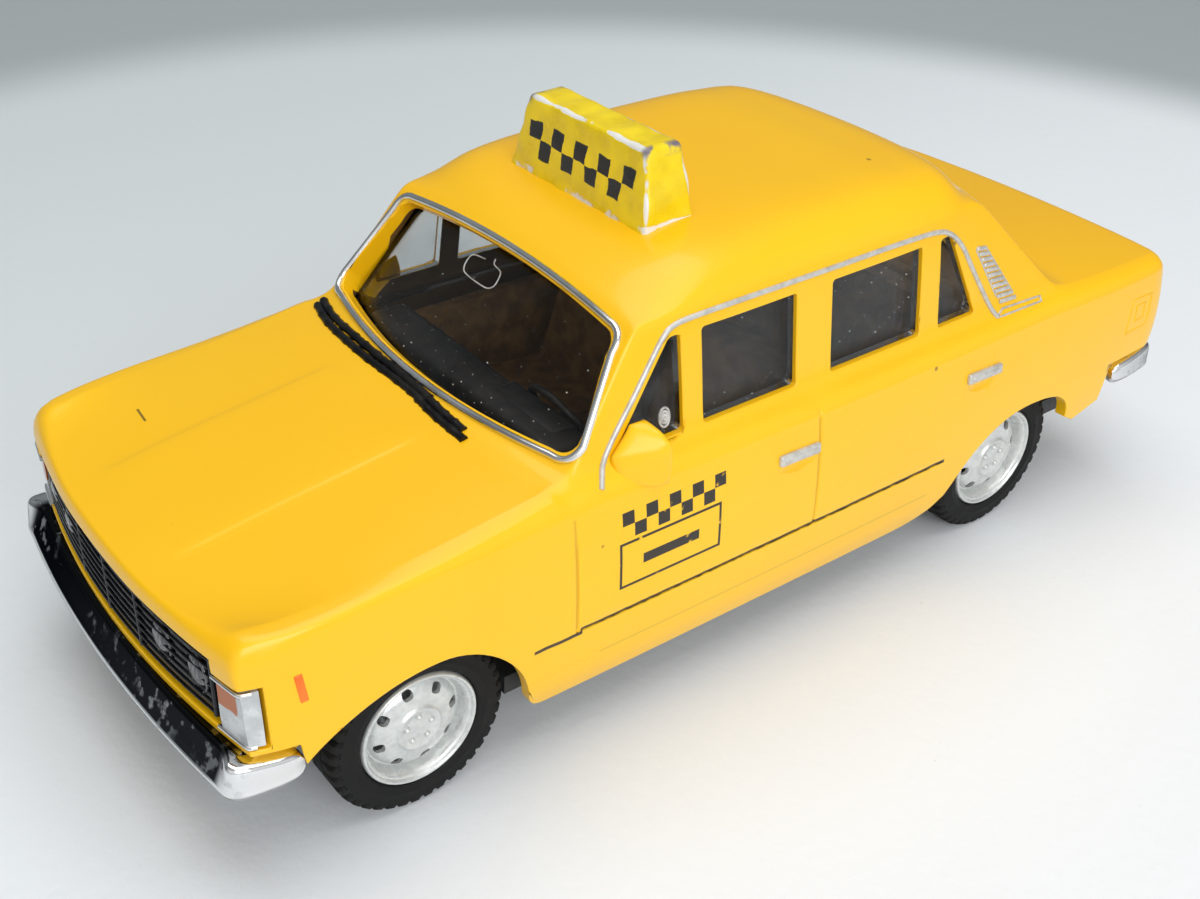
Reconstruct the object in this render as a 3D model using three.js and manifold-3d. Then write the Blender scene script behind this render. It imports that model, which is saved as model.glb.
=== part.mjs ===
// Die-cast toy saloon of the 1:43 class, dressed as a cab: a cast body with a wall of even thickness,
// a plastic base, a moulded interior, one clear glazing insert, plated bumpers and two turning wheelsets.
// Millimetres, +X forward, +Y to the car's left, +Z up, origin on the ground below the middle of the car.
import * as THREE from 'three';
import { ConvexGeometry } from 'three/addons/geometries/ConvexGeometry.js';
import { ParametricGeometry } from 'three/addons/geometries/ParametricGeometry.js';
import { mergeGeometries, mergeVertices } from 'three/addons/utils/BufferGeometryUtils.js';
import Module from 'manifold-3d';

const wasm = await Module();
wasm.setup();
const { lerp, smoothstep } = THREE.MathUtils;

// Stance and running gear
const wheelbase = 59.2;
const frontOverhang = 15.95;
const rearOverhang = 20.95;
const tyreRadius = 6.92;
const tyreWidth = 4.5;
const tyreSetIn = 1.75;
const rimRadius = 4.6;
const rimWall = 0.7;
const rimDish = 0.85;
const rimDiscThickness = 0.7;
const rimHoleCount = 8;
const rimHoleSize = 1.0;
const rimHoleCircle = 3.05;
const hubRadius = 1.8;
const hubDepth = 3.6;
const axleRadius = 0.75;
const wheelRoom = 0.9;
const clearance = 0.3;

// Cast body: plan, wall and heights
const bodyHalfWidth = 18.75;
const bodyWall = 1.1;
const noseReach = 15.0;
const tailReach = 20.95;
const noseBow = 1.89;
const tailBow = 0.8;
const lipZ = 18.6;
const tailEdgeZ = 19.4;
const endTuck = 1.75;
const cornerTurn = 1.25;
const cornerRun = 4.0;
const sillZ = 4.9;
const creaseZ = 8.2;
const widestZ = 11.2;
const shoulderZ = 20.6;
const shoulderInset = 0.75;
const noseShoulderDrop = 0.5;
const tailShoulderDrop = 0.4;
const beltFrontZ = 22.5;
const beltRearZ = 21.9;
const hoodNoseZ = 19.25;
const hoodRidgeZ = 20.25;
const hoodCowlZ = 22.75;
const wingCrest = 7;
const trunkFrontZ = 22.6;
const trunkTailZ = 21.35;
const trunkRidgeZ = 21.1;

// Greenhouse
const cowlSetback = 10.4;
const cowlBow = 2.6;
const screenTopSetback = 19.3;
const screenTopBow = 0.4;
const rearBaseSetback = 5.7;
const rearBaseBow = 1.1;
const rearTopAdvance = 3.1;
const rearTopBow = 1.6;
const dripSetIn = 3.6;
const dripFrontTaper = 0.55;
const dripRearTaper = 1.25;
const dripZ = 31.6;
const dripFrontZ = 31.2;
const dripRearZ = 31.2;
const roofRise = 2.85;
const screenCrown = 0.65;

// Screen openings and side windows; the windows are set out from the nearer axle
const screenFrame = 0.95;
const backlightFrame = 1.5;
const screenCornerRadius = 1.7;
const screenTrimWidth = 0.5;
const windowCornerRadius = 0.55;
const windowSillZ = 22.75;
const windowHeadZ = 29.9;
const ventRearSetback = 22.3;
const ventFrontSetback = 16.4;
const ventTopLength = 1.2;
const frontDoorWindowSetback = 24.3;
const frontDoorWindowLength = 9.0;
const rearDoorWindowAdvance = 22.3;
const rearDoorWindowLength = 9.7;
const quarterWindowAdvance = 10.4;
const quarterWindowLength = 4.4;
const quarterTopLength = 1.3;

// Wheel arches and lower edges
const frontArchTopZ = 13.8;
const frontArchRearReach = 9.2;
const frontArchFrontReach = 9.1;
const frontArchFrontZ = 10.0;
const rearArchTopZ = 12.8;
const rearArchFrontReach = 13.4;
const rearArchRearReach = 7.1;
const rearArchRearZ = 9.4;
const frontValanceZ = 8.0;
const rearValanceZ = 8.6;
const tailValanceZ = 10.2;
const tailValanceReach = 6.2;

// Nose and tail fittings
const grilleSetIn = 2.6;
const grilleBottomZ = 12.6;
const grilleTopZ = 18.2;
const grilleDepth = 1.0;
const grilleRecess = 1.0;
const grilleBarCount = 5;
const grilleBarHeight = 0.35;
const grilleBarProud = 0.45;
const headlampRadius = 1.6;
const headlampSetIn = 2.6;
const headlampPitch = 4.2;
const headlampDepth = 0.8;
const headlampDome = 0.5;
const cornerLampSetback = 11.3;
const cornerLampTopZ = 17.1;
const cornerLampBottomZ = 12.7;
const lampDepth = 1.0;
const frontBumperHeight = 2.9;
const rearBumperHeight = 2.5;
const bumperDepth = 1.35;
const bumperFlare = 1.3;
const bumperBow = 1.4;
const bumperStep = 1.7;
const frontBumperZ = 10.4;
const rearBumperZ = 11.65;
const frontBumperSetback = 9.6;
const rearBumperSetback = 13.3;
const bumperPegRadius = 0.7;
const bumperPegLength = 3.6;
const bumperPegSetIn = 8.0;
const tailLampHalfHeight = 2.9;
const tailLampZ = 16.6;
const tailLampSetIn = 0.8;
const tailLampWidth = 5.6;

// Cast-on details
const detailProud = 0.4;
const handleLength = 4.1;
const handleHeight = 0.8;
const handleZ = 18.1;
const frontHandleSetback = 32.4;
const rearHandleAdvance = 6.0;
const mirrorSetback = 18.9;
const mirrorBottomZ = 20.5;
const mirrorTopZ = 25.6;
const mirrorDrop = 1.2;
const mirrorRake = 1.4;
const mirrorLength = 1.4;
const mirrorSetIn = 0.1;
const mirrorWidth = 2.6;
const dripRailHeight = 0.5;
const dripFootSetback = 14.3;
const dripBendSetback = 21.0;
const louvreCount = 8;
const louvreHeight = 0.4;
const louvreLength = 1.9;
const louvreTopZ = 27.7;
const louvreBottomZ = 22.4;
const louvreTopAdvance = 5.0;
const louvreBottomAdvance = 0.9;
const wiperWidth = 0.9;
const wiperLength = 9.5;
const wiperAhead = 0.6;

// Base, posts and screws
const baseThickness = 1.6;
const baseBottomZ = 5.1;
const baseSetIn = 3.15;
const baseEndSetIn = 4.0;
const baseFrontReach = 12.0;
const baseRearReach = 17.0;
const earThickness = 1.4;
const earHalfLength = 2.2;
const earWall = 1.1;
const earSetIn = 2.0;
const postRadius = 2.2;
const frontPostReach = 8.6;
const rearPostReach = 10.2;
const screwRadius = 0.65;
const screwHeadRadius = 1.5;
const screwHeadHeight = 0.7;
const screwLength = 6.0;
const screwSlotDepth = 0.35;
const screwSink = 0.1;

// Interior
const tubFloor = 1.0;
const tubWall = 1.0;
const tubSetIn = 4.15;
const tubWallZ = 19.4;
const tubFrontSetback = 14.2;
const seatWidth = 10.4;
const seatDoorGap = 2.7;
const benchSetIn = 0.8;
const seatLength = 8.0;
const seatBackThickness = 2.0;
const seatRake = 2.2;
const seatHipZ = 13.4;
const seatTopZ = 21.8;
const frontSeatSetback = 32.0;
const rearSeatAdvance = 8.3;
const dashTopZ = 21.2;
const dashDepth = 4.2;
const dashHeight = 5.2;
const dashSetIn = 1.6;
const binnacleHeight = 0.8;
const binnacleWidth = 8.4;
const steeringRadius = 3.3;
const steeringTube = 0.42;
const steeringSetIn = 6.2;
const steeringZ = 19.6;
const steeringRake = 0.52;
const steeringGap = 1.5;
const columnRadius = 0.5;
const glassThickness = 0.8;
const glassBottomZ = 21.6;
const mirrorLugWidth = 3.4;
const mirrorLugHeight = 1.5;
const mirrorLugZ = 29.0;
const mirrorLugDepth = 0.5;

// Roof sign
const signLength = 17.0;
const signTopLength = 14.4;
const signDepth = 5.1;
const signTopDepth = 3.4;
const signFootZ = 33.9;
const signTopZ = 39.7;
const signSetback = 27.2;

// Places worked out from the sizes above
const endHalfWidth = bodyHalfWidth - endTuck;
const tyreFaceY = bodyHalfWidth - tyreSetIn;
const dripHalfWidth = bodyHalfWidth - dripSetIn;
const dripFrontHalfWidth = dripHalfWidth - dripFrontTaper;
const dripRearHalfWidth = dripHalfWidth - dripRearTaper;
const grilleHalfWidth = endHalfWidth - grilleSetIn;
const headlampOuterY = grilleHalfWidth - headlampSetIn;
const headlampInnerY = headlampOuterY - headlampPitch;
const bumperHalfWidth = endHalfWidth + bumperFlare;
const bumperPegY = endHalfWidth - bumperPegSetIn;
const tailLampOuterY = endHalfWidth - tailLampSetIn;
const tailLampInnerY = tailLampOuterY - tailLampWidth;
const mirrorOuterY = bodyHalfWidth - mirrorSetIn;
const mirrorInnerY = mirrorOuterY - mirrorWidth;
const baseHalfWidth = bodyHalfWidth - baseSetIn;
const baseEndHalfWidth = endHalfWidth - baseEndSetIn;
const tubHalfWidth = bodyHalfWidth - tubSetIn;
const dashHalfWidth = tubHalfWidth - dashSetIn;
const steeringY = dashHalfWidth - steeringSetIn;
const carLength = frontOverhang + wheelbase + rearOverhang;
const frontAxleX = carLength / 2 - frontOverhang;
const rearAxleX = frontAxleX - wheelbase;
const noseX = frontAxleX + noseReach;
const tailX = rearAxleX - tailReach;
const noseCornerX = noseX - noseBow;
const tailCornerX = tailX + tailBow;
const floorZ = sillZ - bodyWall;
const cowlX = frontAxleX - cowlSetback;
const screenTopX = frontAxleX - screenTopSetback;
const rearBaseX = rearAxleX - rearBaseSetback;
const rearTopX = rearAxleX + rearTopAdvance;
const baseTopZ = baseBottomZ + baseThickness;
const tyreInnerY = tyreFaceY - tyreWidth;
const railY = tyreInnerY - wheelRoom;
const earY = railY - earSetIn;
const benchWidth = 2 * (railY - benchSetIn / 2);
const seatY = tubHalfWidth - tubWall - seatDoorGap / 2 - seatWidth / 2;
const wellHalfLength = tyreRadius + wheelRoom;
const axleEndY = tyreFaceY - rimDish - rimDiscThickness - 2 * clearance;
const axles = [['front', frontAxleX], ['rear', rearAxleX]];
const sides = [['left', 1], ['right', -1]];

// Solids: a closed geometry becomes a solid for joins and cuts, and goes back to a geometry at the end
function toSolid(geometry) {
  const bare = geometry.clone();
  for (const name of Object.keys(bare.attributes)) {
    if (name !== 'position') bare.deleteAttribute(name);
  }
  const merged = mergeVertices(bare, 1e-4);
  const corners = merged.index.array;
  const triVerts = [];
  for (let i = 0; i < corners.length; i += 3) {
    const [a, b, c] = corners.slice(i, i + 3);
    if (a !== b && b !== c && c !== a) triVerts.push(a, b, c);
  }
  const vertProperties = Float32Array.from(merged.attributes.position.array);
  return new wasm.Manifold(new wasm.Mesh({ numProp: 3, vertProperties, triVerts: Uint32Array.from(triVerts) }));
}

function toGeometry(solid) {
  const mesh = solid.getMesh();
  const geometry = new THREE.BufferGeometry();
  geometry.setAttribute('position', new THREE.BufferAttribute(Float32Array.from(mesh.vertProperties), 3));
  geometry.setIndex(new THREE.BufferAttribute(Uint32Array.from(mesh.triVerts), 1));
  return geometry;
}

function mirrored(geometry) {
  const copy = geometry.clone();
  copy.scale(1, -1, 1);
  const index = copy.index.array;
  for (let i = 0; i < index.length; i += 3) [index[i], index[i + 2]] = [index[i + 2], index[i]];
  return copy;
}

// A smooth line through a few sample points, read at any position
function smoothLine(points) {
  const ordered = [...points].sort((a, b) => a[0] - b[0]);
  const positions = ordered.map((point) => point[0]);
  const values = ordered.map((point) => point[1]);
  const line = new THREE.CubicInterpolant(positions, values, 1);
  const last = positions.length - 1;
  return (position) => line.evaluate(THREE.MathUtils.clamp(position, positions[0], positions[last]))[0];
}

// A square-cut block between two limits in each direction
function block(x0, x1, y0, y1, z0, z1) {
  const geometry = new THREE.BoxGeometry(x1 - x0, y1 - y0, z1 - z0);
  return toSolid(geometry.translate((x0 + x1) / 2, (y0 + y1) / 2, (z0 + z1) / 2));
}

// A round bar along x, y or z
function rod(axis, radius, length, sideCount, x, y, z) {
  const geometry = new THREE.CylinderGeometry(radius, radius, length, sideCount);
  if (axis === 'x') geometry.rotateZ(Math.PI / 2);
  if (axis === 'z') geometry.rotateX(Math.PI / 2);
  return toSolid(geometry.translate(x, y, z));
}

function hull(points) {
  return toSolid(new ConvexGeometry(points.map((point) => new THREE.Vector3(...point))));
}

// A turned piece: a profile of radius and distance along y, drawn anticlockwise
function turned(profile, sideCount) {
  return new THREE.LatheGeometry(profile.map(([r, y]) => new THREE.Vector2(r, y)), sideCount);
}

// An outline in the side view (x, z), carried across the car from y0 to y1
function sidePrism(outline, y0, y1, curveSegments = 7) {
  const geometry = new THREE.ExtrudeGeometry(outline, { depth: y1 - y0, bevelEnabled: false, curveSegments });
  return toSolid(geometry.rotateX(Math.PI / 2).translate(0, y1, 0));
}

// An outline in plan (x, y), carried up from z0 to z1
function planPrism(outline, z0, z1, curveSegments = 7) {
  const geometry = new THREE.ExtrudeGeometry(outline, { depth: z1 - z0, bevelEnabled: false, curveSegments });
  return toSolid(geometry.translate(0, 0, z0));
}

function polygon(points) {
  return new THREE.Shape(points.map(([a, b]) => new THREE.Vector2(a, b)));
}

function roundedPolygon(points, radius) {
  const corners = points.map(([a, b]) => new THREE.Vector2(a, b));
  const outline = new THREE.Shape();
  corners.forEach((corner, i) => {
    const before = corners.at(i - 1).clone().sub(corner).setLength(radius).add(corner);
    const after = corners[(i + 1) % corners.length].clone().sub(corner).setLength(radius).add(corner);
    if (i === 0) outline.moveTo(before.x, before.y);
    else outline.lineTo(before.x, before.y);
    outline.quadraticCurveTo(corner.x, corner.y, after.x, after.y);
  });
  return outline;
}

// A narrow strip of even width that follows a line of points
function strip(points, width) {
  const line = new THREE.SplineCurve(points.map(([a, b]) => new THREE.Vector2(a, b)));
  const steps = 2 * (points.length - 1);
  const edge = (side) => line.getPoints(steps).map((point, i) => {
    const heading = line.getTangent(i / steps);
    return [point.x - side * heading.y * width / 2, point.y + side * heading.x * width / 2];
  });
  return polygon([...edge(1), ...edge(-1).reverse()]);
}

// Body skin: lines that every surface of the body is drawn from
const halfWidthAt = smoothLine([
  [tailCornerX, endHalfWidth],
  [tailCornerX + cornerTurn, lerp(endHalfWidth, bodyHalfWidth, 0.4)],
  [tailCornerX + cornerRun, lerp(endHalfWidth, bodyHalfWidth, 0.6)],
  [rearAxleX, lerp(endHalfWidth, bodyHalfWidth, 0.88)],
  [0, bodyHalfWidth],
  [frontAxleX, lerp(endHalfWidth, bodyHalfWidth, 0.88)],
  [noseCornerX - cornerRun, lerp(endHalfWidth, bodyHalfWidth, 0.68)],
  [noseCornerX - cornerTurn, lerp(endHalfWidth, bodyHalfWidth, 0.25)],
  [noseCornerX, endHalfWidth],
]);
const sideInsetAt = smoothLine([
  [floorZ, 2 * shoulderInset],
  [sillZ, 1.4 * shoulderInset],
  [lerp(sillZ, creaseZ, 0.45), 0.6 * shoulderInset],
  [creaseZ, 0.25 * shoulderInset],
  [widestZ, 0],
  [lerp(widestZ, shoulderZ, 0.4), 0.12 * shoulderInset],
  [lerp(widestZ, shoulderZ, 0.72), 0.48 * shoulderInset],
  [shoulderZ, shoulderInset],
]);
const frontSetbackAt = smoothLine([
  [floorZ, 2.2], [frontValanceZ, 1.4], [grilleBottomZ, 0.45], [lerp(grilleBottomZ, lipZ, 0.83), 0.25],
  [lipZ, 0], [lipZ + 0.6, 0.25], [lipZ + 1.5, 1.1],
]);
const rearSetbackAt = smoothLine([
  [floorZ, 3], [rearValanceZ, 1.9], [rearBumperZ, 1.1], [tailLampZ - tailLampHalfHeight, 0.4],
  [tailEdgeZ, 0], [tailEdgeZ + 1.2, 0.25],
]);
const hoodRidgeAt = smoothLine([[0, 0], [0.25, 0.17], [0.55, 0.45], [0.85, 0.84], [1, 1]]);
const hoodMiddleAt = smoothLine([[0, 0], [0.08, 0.15], [0.3, 0.42], [0.6, 0.7], [0.9, 0.95], [1, 1]]);
const dripHalfWidthAt = smoothLine([
  [0, dripFrontHalfWidth], [0.12, lerp(dripFrontHalfWidth, dripHalfWidth, 0.85)],
  [0.45, dripHalfWidth], [0.85, lerp(dripRearHalfWidth, dripHalfWidth, 0.7)], [1, dripRearHalfWidth],
]);
const dripHeightAt = smoothLine([[0, dripFrontZ], [0.35, dripZ], [0.65, dripZ], [1, dripRearZ]]);
const roofRiseAt = smoothLine([
  [0, screenCrown], [0.06, 0.54 * roofRise], [0.16, 0.85 * roofRise], [0.35, 0.97 * roofRise],
  [0.6, roofRise], [0.8, roofRise], [0.92, 0.85 * roofRise], [1, screenCrown],
]);
const beltShare = 0.912;
const roofSquareness = 10;

// How finely the body is drawn: columns along hood, cabin and trunk, side levels, and shares of the half width
const outsideGrid = {
  columns: [7, 11, 5],
  levels: [
    floorZ, sillZ, creaseZ, widestZ, lerp(widestZ, shoulderZ, 0.4),
    lerp(widestZ, shoulderZ, 0.7), lerp(widestZ, shoulderZ, 0.84), shoulderZ,
  ],
  shares: [1, 0.985, 0.955, beltShare, 0.86, 0.74, 0.45, 0],
  ledgeRise: [0, 0.42, 0.78, 1],
  glassRows: 3,
};
const insideGrid = {
  columns: [4, 8, 3],
  levels: [floorZ, widestZ, lerp(widestZ, shoulderZ, 0.6), shoulderZ],
  shares: [1, beltShare, 0.8, 0.45, 0],
  ledgeRise: [0, 1],
  glassRows: 2,
};

// The closed outer form of the body, drawn in by an even inset, as half patches and their mirror images
function bodySkin(inset, grid) {
  const { levels, shares, ledgeRise, glassRows } = grid;
  const [hoodColumns, cabinColumns, trunkColumns] = grid.columns;
  const ledgeRows = ledgeRise.length - 1;
  const deckRows = shares.length - 1;
  const roofRows = deckRows - ledgeRows;
  const bowed = (bow, share) => bow * share * share;
  const shoulderAt = (x) => shoulderZ - inset
    - noseShoulderDrop * smoothstep(x, frontAxleX, noseCornerX)
    - tailShoulderDrop * smoothstep(-x, -rearAxleX, -tailCornerX);
  const frontX = (share, z) => noseX - bowed(noseBow, share) - frontSetbackAt(z + inset) - inset;
  const rearX = (share, z) => tailX + bowed(tailBow, share) + rearSetbackAt(z + inset) + inset;
  const screenBaseX = (share) => cowlX - bowed(cowlBow, share / beltShare) - 0.4 * inset;
  const backlightBaseX = (share) => rearBaseX + bowed(rearBaseBow, share / beltShare) + 0.4 * inset;
  const deckAt = (zone, s, share) => {
    const h = Math.min(share / beltShare, 1);
    if (zone === 'hood') {
      const crown = 1 - h ** lerp(wingCrest, 2, smoothstep(s, 0, 0.6));
      const ridge = lerp(hoodRidgeZ, beltFrontZ, hoodRidgeAt(s));
      return lerp(ridge, lerp(hoodNoseZ, hoodCowlZ, hoodMiddleAt(s)), crown) - inset;
    }
    return lerp(lerp(beltRearZ, trunkRidgeZ, s), lerp(trunkFrontZ, trunkTailZ, s), 1 - h * h) - inset;
  };
  const columnX = (zone, s, share, z) => {
    if (zone === 'hood') return lerp(frontX(share, z), screenBaseX(share), s);
    if (zone === 'trunk') return lerp(backlightBaseX(share), rearX(share, z), s);
    return lerp(screenBaseX(share), backlightBaseX(share), s);
  };
  const edgeX = (zone, s) => columnX(zone, s, 1, shoulderZ - inset);
  const sidePoint = (zone, s, row, share, target) => {
    const x = edgeX(zone, s);
    const low = floorZ - inset;
    const z = low + (levels[row] - floorZ) / (shoulderZ - floorZ) * (shoulderAt(x) - low);
    const y = (halfWidthAt(x) - sideInsetAt(levels[row]) - inset) * share;
    target.set(columnX(zone, s, 1, z), y, z);
  };
  const deckPoint = (zone, s, k, target) => {
    const x = edgeX(zone, s);
    const share = shares[k];
    const y = (halfWidthAt(x) - shoulderInset - inset) * share;
    const shoulder = shoulderAt(x);
    let z;
    if (zone === 'cabin') z = lerp(shoulder, lerp(beltFrontZ, beltRearZ, s) - inset, ledgeRise[k]);
    else if (k < ledgeRows) z = lerp(shoulder, deckAt(zone, s, beltShare), ledgeRise[k]);
    else z = deckAt(zone, s, share);
    target.set(columnX(zone, s, share, z), y, z);
  };
  const roofPoint = (c, k, target) => {
    const h = shares[k] / beltShare;
    const square = lerp(2, roofSquareness, smoothstep(c, 0, 0.16) * smoothstep(1 - c, 0, 0.12));
    const front = screenTopX + bowed(screenTopBow, h) - 0.4 * inset;
    const rear = rearTopX + bowed(rearTopBow, h) + 0.4 * inset;
    const z = dripHeightAt(c) + roofRiseAt(c) * (1 - Math.pow(h, square)) - inset;
    target.set(lerp(front, rear, c), (dripHalfWidthAt(c) - inset) * h, z);
  };
  const base = new THREE.Vector3();
  const top = new THREE.Vector3();
  const pieces = [];
  const patch = (columns, rows, place) => {
    const draw = (u, v, target) => place(u, Math.round(v * rows), target);
    pieces.push(new ParametricGeometry(draw, columns, rows));
  };
  const zones = [['hood', hoodColumns], ['cabin', cabinColumns], ['trunk', trunkColumns]];
  const topRow = levels.length - 1;
  for (const [zone, columns] of zones) {
    patch(columns, topRow, (u, row, target) => sidePoint(zone, u, row, 1, target));
    patch(columns, deckRows, (u, k, target) => {
      sidePoint(zone, 1 - u, 0, shares[k], target);
      target.x = lowX(zone, 1 - u, shares[k]);
    });
    patch(columns, zone === 'cabin' ? ledgeRows : deckRows, (u, k, target) => deckPoint(zone, u, k, target));
  }
  function lowX(zone, s, share) {
    if (zone === 'hood') return lerp(frontX(share, floorZ - inset), screenBaseX(1), s);
    if (zone === 'trunk') return lerp(backlightBaseX(1), rearX(share, floorZ - inset), s);
    return lerp(screenBaseX(1), backlightBaseX(1), s);
  }
  const capPoint = (zone, s, row, k, target) => {
    const share = shares[k];
    deckPoint(zone, s, k, top);
    sidePoint(zone, s, row, share, target);
    target.x = columnX(zone, s, share, target.z);
    if (row === topRow) target.copy(top);
  };
  patch(topRow, deckRows, (u, k, target) => capPoint('hood', 0, Math.round(u * topRow), k, target));
  patch(topRow, deckRows, (u, k, target) => capPoint('trunk', 1, Math.round((1 - u) * topRow), k, target));
  const cabinSide = (c, g, target) => {
    deckPoint('cabin', c, ledgeRows, base);
    roofPoint(c, ledgeRows, top);
    target.lerpVectors(base, top, g);
  };
  patch(cabinColumns, glassRows, (u, row, target) => cabinSide(u, row / glassRows, target));
  patch(cabinColumns, roofRows, (u, row, target) => roofPoint(u, ledgeRows + row, target));
  patch(glassRows, roofRows, (u, row, target) => {
    deckPoint('hood', 1, ledgeRows + row, base);
    roofPoint(0, ledgeRows + row, top);
    target.lerpVectors(base, top, u);
  });
  patch(glassRows, roofRows, (u, row, target) => {
    deckPoint('trunk', 0, ledgeRows + row, base);
    roofPoint(1, ledgeRows + row, top);
    target.lerpVectors(top, base, u);
  });
  const half = mergeGeometries(pieces);
  return toSolid(mergeGeometries([half, mirrored(half)]));
}

const skin = bodySkin(0, outsideGrid);
const raisedSkin = bodySkin(-detailProud, outsideGrid);

const group = new THREE.Group();

function addPart(name, shape, finish) {
  const geometry = shape.isBufferGeometry ? shape : toGeometry(shape);
  geometry.computeVertexNormals();
  const mesh = new THREE.Mesh(geometry, new THREE.MeshStandardMaterial(finish));
  mesh.name = name;
  group.add(mesh);
}

const yellowPaint = { color: '#f6b41c', roughness: 0.25, metalness: 0.1 };
const lemonPaint = { color: '#e9d21f', roughness: 0.5, metalness: 0 };
const blackPlastic = { color: '#17181a', roughness: 0.45, metalness: 0 };
const darkPlastic = { color: '#241f1c', roughness: 0.6, metalness: 0 };
const blackRubber = { color: '#1b1b1c', roughness: 0.85, metalness: 0 };
const brightMetal = { color: '#c9cccf', roughness: 0.25, metalness: 1 };
const plated = { color: '#dfe2e4', roughness: 0.12, metalness: 1 };
const clearPlastic = { color: '#8d9494', roughness: 0.1, metalness: 0, transparent: true, opacity: 0.35 };
const lampGrey = { color: '#b9bdbf', roughness: 0.15, metalness: 0.5 };
const lampRed = { color: '#a3160f', roughness: 0.2, metalness: 0 };

// Steps in the casting below the two bumpers, and the hollow that leaves an even wall behind them
const frontStepX = frontAxleX + frontBumperSetback - clearance;
const rearStepX = rearAxleX - rearBumperSetback + clearance;
const frontStepZ = frontBumperZ + frontBumperHeight / 2 + clearance;
const rearStepZ = rearBumperZ + rearBumperHeight / 2 + clearance;

function underBumpers(grow) {
  const front = sidePrism(polygon([
    [frontStepX - grow, 0], [carLength, 0], [carLength, frontStepZ + grow], [frontStepX - grow, frontStepZ + grow],
  ]), -carLength, carLength);
  const rear = sidePrism(polygon([
    [rearStepX + grow, 0], [rearStepX + grow, rearStepZ + grow], [-carLength, rearStepZ + grow], [-carLength, 0],
  ]), -carLength, carLength);
  return front.add(rear);
}

const steps = underBumpers(0);
const deepSteps = underBumpers(bodyWall);
const steppedSkin = bodySkin(bumperStep, insideGrid);
const cavity = bodySkin(bodyWall, insideGrid).subtract(deepSteps)
  .add(bodySkin(bumperStep + bodyWall, insideGrid).intersect(deepSteps));

// Lower edge of the body: valances, sills and the four wheel arches
const lowerEdge = new THREE.Shape();
const frontArchTip = frontAxleX + frontArchFrontReach;
const frontArchHeel = frontAxleX - frontArchRearReach;
const rearArchToe = rearAxleX + rearArchFrontReach;
const rearArchTip = rearAxleX - rearArchRearReach;
const archEase = 0.55 * tyreRadius;
lowerEdge.moveTo(carLength, -carLength);
lowerEdge.lineTo(carLength, frontValanceZ);
lowerEdge.lineTo(frontArchTip + 0.2 * tyreRadius, frontValanceZ);
lowerEdge.lineTo(frontArchTip, frontArchFrontZ);
lowerEdge.bezierCurveTo(frontArchTip - 0.4 * archEase, lerp(frontArchFrontZ, frontArchTopZ, 0.5),
  frontAxleX + archEase, frontArchTopZ, frontAxleX - 0.1 * tyreRadius, frontArchTopZ);
lowerEdge.bezierCurveTo(frontAxleX - archEase, frontArchTopZ,
  frontArchHeel + 0.45 * archEase, lerp(tyreRadius, frontArchTopZ, 0.6), frontArchHeel + 0.3 * archEase, tyreRadius);
lowerEdge.quadraticCurveTo(frontArchHeel + 0.2 * archEase, sillZ, frontArchHeel - 0.2 * archEase, sillZ);
lowerEdge.lineTo(rearArchToe, sillZ);
lowerEdge.quadraticCurveTo(rearArchToe - 1.1 * archEase, sillZ, rearAxleX + 0.95 * wellHalfLength, 1.15 * tyreRadius);
lowerEdge.quadraticCurveTo(rearAxleX + 1.2 * archEase, rearArchTopZ, rearAxleX - 0.3 * archEase, rearArchTopZ);
lowerEdge.bezierCurveTo(rearArchTip + 0.6 * archEase, rearArchTopZ,
  rearArchTip, lerp(rearArchRearZ, rearArchTopZ, 0.7), rearArchTip, rearArchRearZ);
lowerEdge.lineTo(rearArchTip - 0.2 * tyreRadius, rearValanceZ);
lowerEdge.lineTo(tailX + tailValanceReach, tailValanceZ);
lowerEdge.lineTo(-carLength, tailValanceZ);
lowerEdge.lineTo(-carLength, -carLength);
const underside = sidePrism(lowerEdge, -carLength, carLength);

// Openings for the windscreen and the rear window: both edges bow, the corners are round
function screenOpening(baseMiddle, baseCorner, topMiddle, topCorner, frame) {
  const up = topMiddle.clone().sub(baseMiddle).normalize();
  const across = new THREE.Vector3(0, 1, 0);
  const riseOf = (point) => point.clone().sub(baseMiddle).dot(up);
  const low = riseOf(baseCorner) + frame;
  const high = riseOf(topCorner) - frame;
  const lowHalf = baseCorner.y - frame;
  const highHalf = topCorner.y - frame;
  const r = screenCornerRadius;
  const outline = new THREE.Shape();
  outline.moveTo(r - lowHalf, low);
  outline.quadraticCurveTo(0, 2 * frame - low, lowHalf - r, low);
  outline.quadraticCurveTo(lowHalf, low, lowHalf, low + r);
  outline.lineTo(highHalf, high - r);
  outline.quadraticCurveTo(highHalf, high, highHalf - r, high);
  outline.quadraticCurveTo(0, 2 * (riseOf(topMiddle) - frame) - high, r - highHalf, high);
  outline.quadraticCurveTo(-highHalf, high, -highHalf, high - r);
  outline.lineTo(-lowHalf, low + r);
  outline.quadraticCurveTo(-lowHalf, low, r - lowHalf, low);
  const reach = 2 * cowlBow;
  const geometry = new THREE.ExtrudeGeometry(outline, { depth: 2 * reach, bevelEnabled: false, curveSegments: 5 });
  const stand = new THREE.Matrix4().makeBasis(across, up, across.clone().cross(up)).setPosition(baseMiddle);
  return toSolid(geometry.translate(0, 0, -reach).applyMatrix4(stand));
}

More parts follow.
